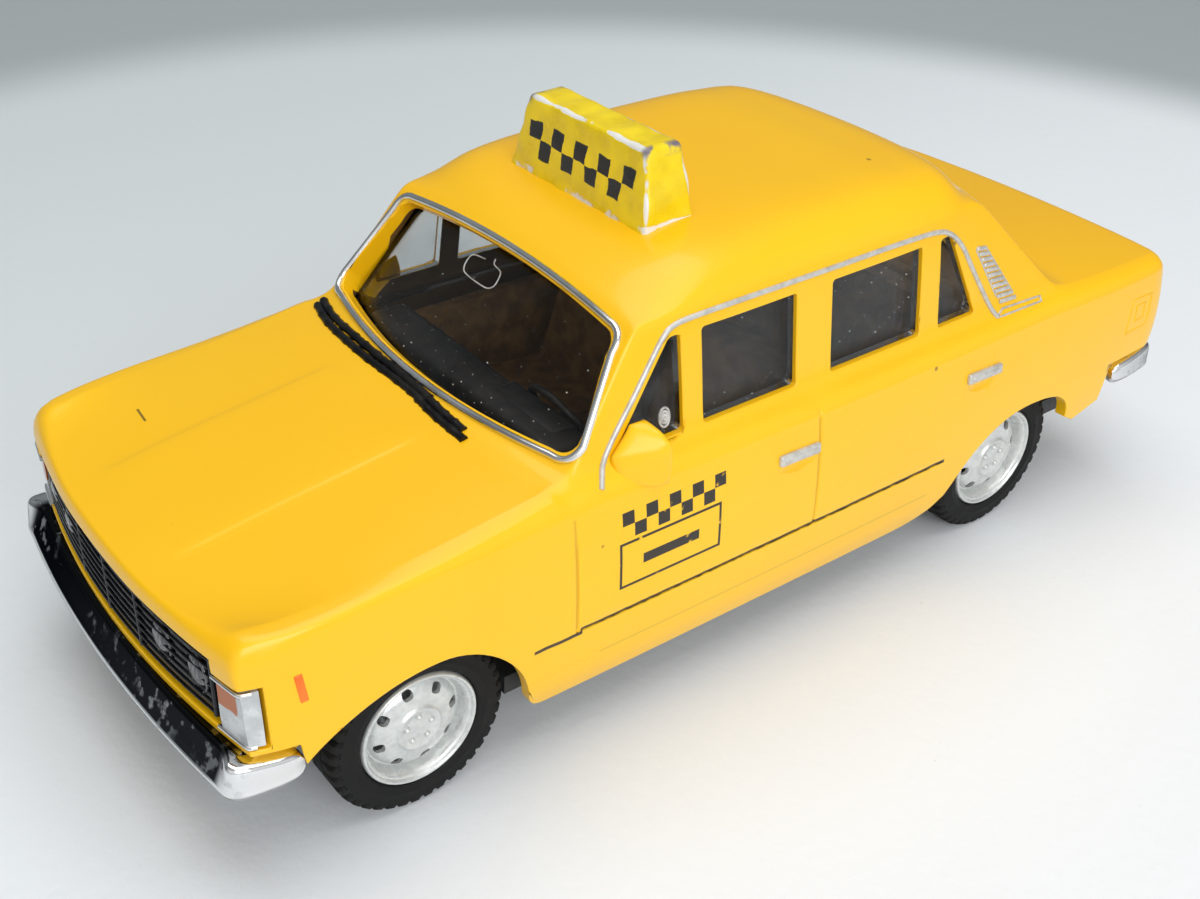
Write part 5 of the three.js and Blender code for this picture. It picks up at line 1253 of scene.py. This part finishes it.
# Roof sign: a cast block stuck on the roof, painted lemon yellow by brush, with a chequered band on its long
# faces. It is chipped to white undercoat along its edges and to bare metal at the top corners.
sign_x, sign_foot, sign_top = 4.9, 33.3, 39.66
foot_size, top_size = (5.0, 16.9), (3.35, 14.3)
lemon = Finish("sign_paint", Coat_Weight=0.2)
spot = lemon.spot()
brush = lemon.cloud(420.0, Detail=4.0)
wobble = lemon.times(lemon.math("SUBTRACT", brush["Height"], 0.5), 0.7)
along, over = (lemon.math("ADD", spot[axis], wobble) for axis in "YZ")
squares = lemon.times(lemon.chequers(along, -6.3, over, 35.1, 1.4), lemon.band(along, -6.24, 6.24, over, 35.16, 37.84))
bare = lemon.cloud(260.0, Detail=4.0)["Height"]
from_end = lemon.math("ABSOLUTE", spot["Y"])
from_front = lemon.math("ABSOLUTE", lemon.math("SUBTRACT", spot["X"], sign_x))
edges = []
for out, at_foot, at_top in ((from_end, 8.3, 7.0), (from_front, 2.4, 1.55)):
    face_out = lemon.spread(spot["Z"], sign_foot, sign_top, at_foot, at_top)
    edges.append(lemon.spread(lemon.math("SUBTRACT", out, face_out), -0.5, -0.05))
top_edge = lemon.times(lemon.spread(spot["Z"], 39.1, 39.5), lemon.math("MAXIMUM", *edges))
edge_near = lemon.math("MAXIMUM", lemon.times(*edges), top_edge)
edge_near = lemon.math("MAXIMUM", edge_near, lemon.spread(spot["Z"], 34.2, 34.6, 0.9, 0.0))
chip = lemon.spread(lemon.times(bare, lemon.spread(edge_near, 0.0, 1.0, 0.7, 1.1)), 0.54, 0.58)
corner_bare = lemon.times(lemon.spread(from_end, 6.2, 6.9), lemon.spread(spot["Z"], 38.7, 39.4),
                          lemon.spread(bare, 0.44, 0.5))
coat = lemon.mixed(brush["Share"], (0.78, 0.57, 0.001), (0.93, 0.7, 0.003))
coat = lemon.mixed(squares, coat, (0.012, 0.011, 0.01))
coat = lemon.mixed(chip, coat, (0.78, 0.77, 0.73))
lemon.colour(corner_bare, coat, (0.16, 0.14, 0.17))
lemon.rough(brush["Height"], 0.22, 0.45)
lemon.bump(lemon.math("ADD", brush["Height"], lemon.times(chip, -0.4)), 0.5, 0.0002)
sign = bmesh.new()
bmesh.ops.create_cube(sign, size=1)
for vert in sign.verts:
    (depth, length), z = (top_size, sign_top) if vert.co.z > 0 else (foot_size, sign_foot)
    vert.co = mm * Vector((sign_x + vert.co.x * depth, vert.co.y * length, z))
bmesh.ops.bevel(sign, geom=sign.edges[:], offset=0.45 * mm, affect="EDGES", segments=4, profile=0.5, material=-1)
long_edges = [e for e in sign.edges if e.calc_length() > 2 * mm]
bmesh.ops.subdivide_edges(sign, edges=long_edges, cuts=12, use_grid_fill=True)
for vert in sign.verts:
    x, y, z = vert.co
    uneven = 1 + sin(2100 * y + 900 * z) * sin(1700 * z + 600 * x)
    vert.co -= vert.normal * mm * 0.1 * uneven
dressed("roof_sign_block", sign, lemon, "sign_paint", "roof_sign")

low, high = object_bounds()
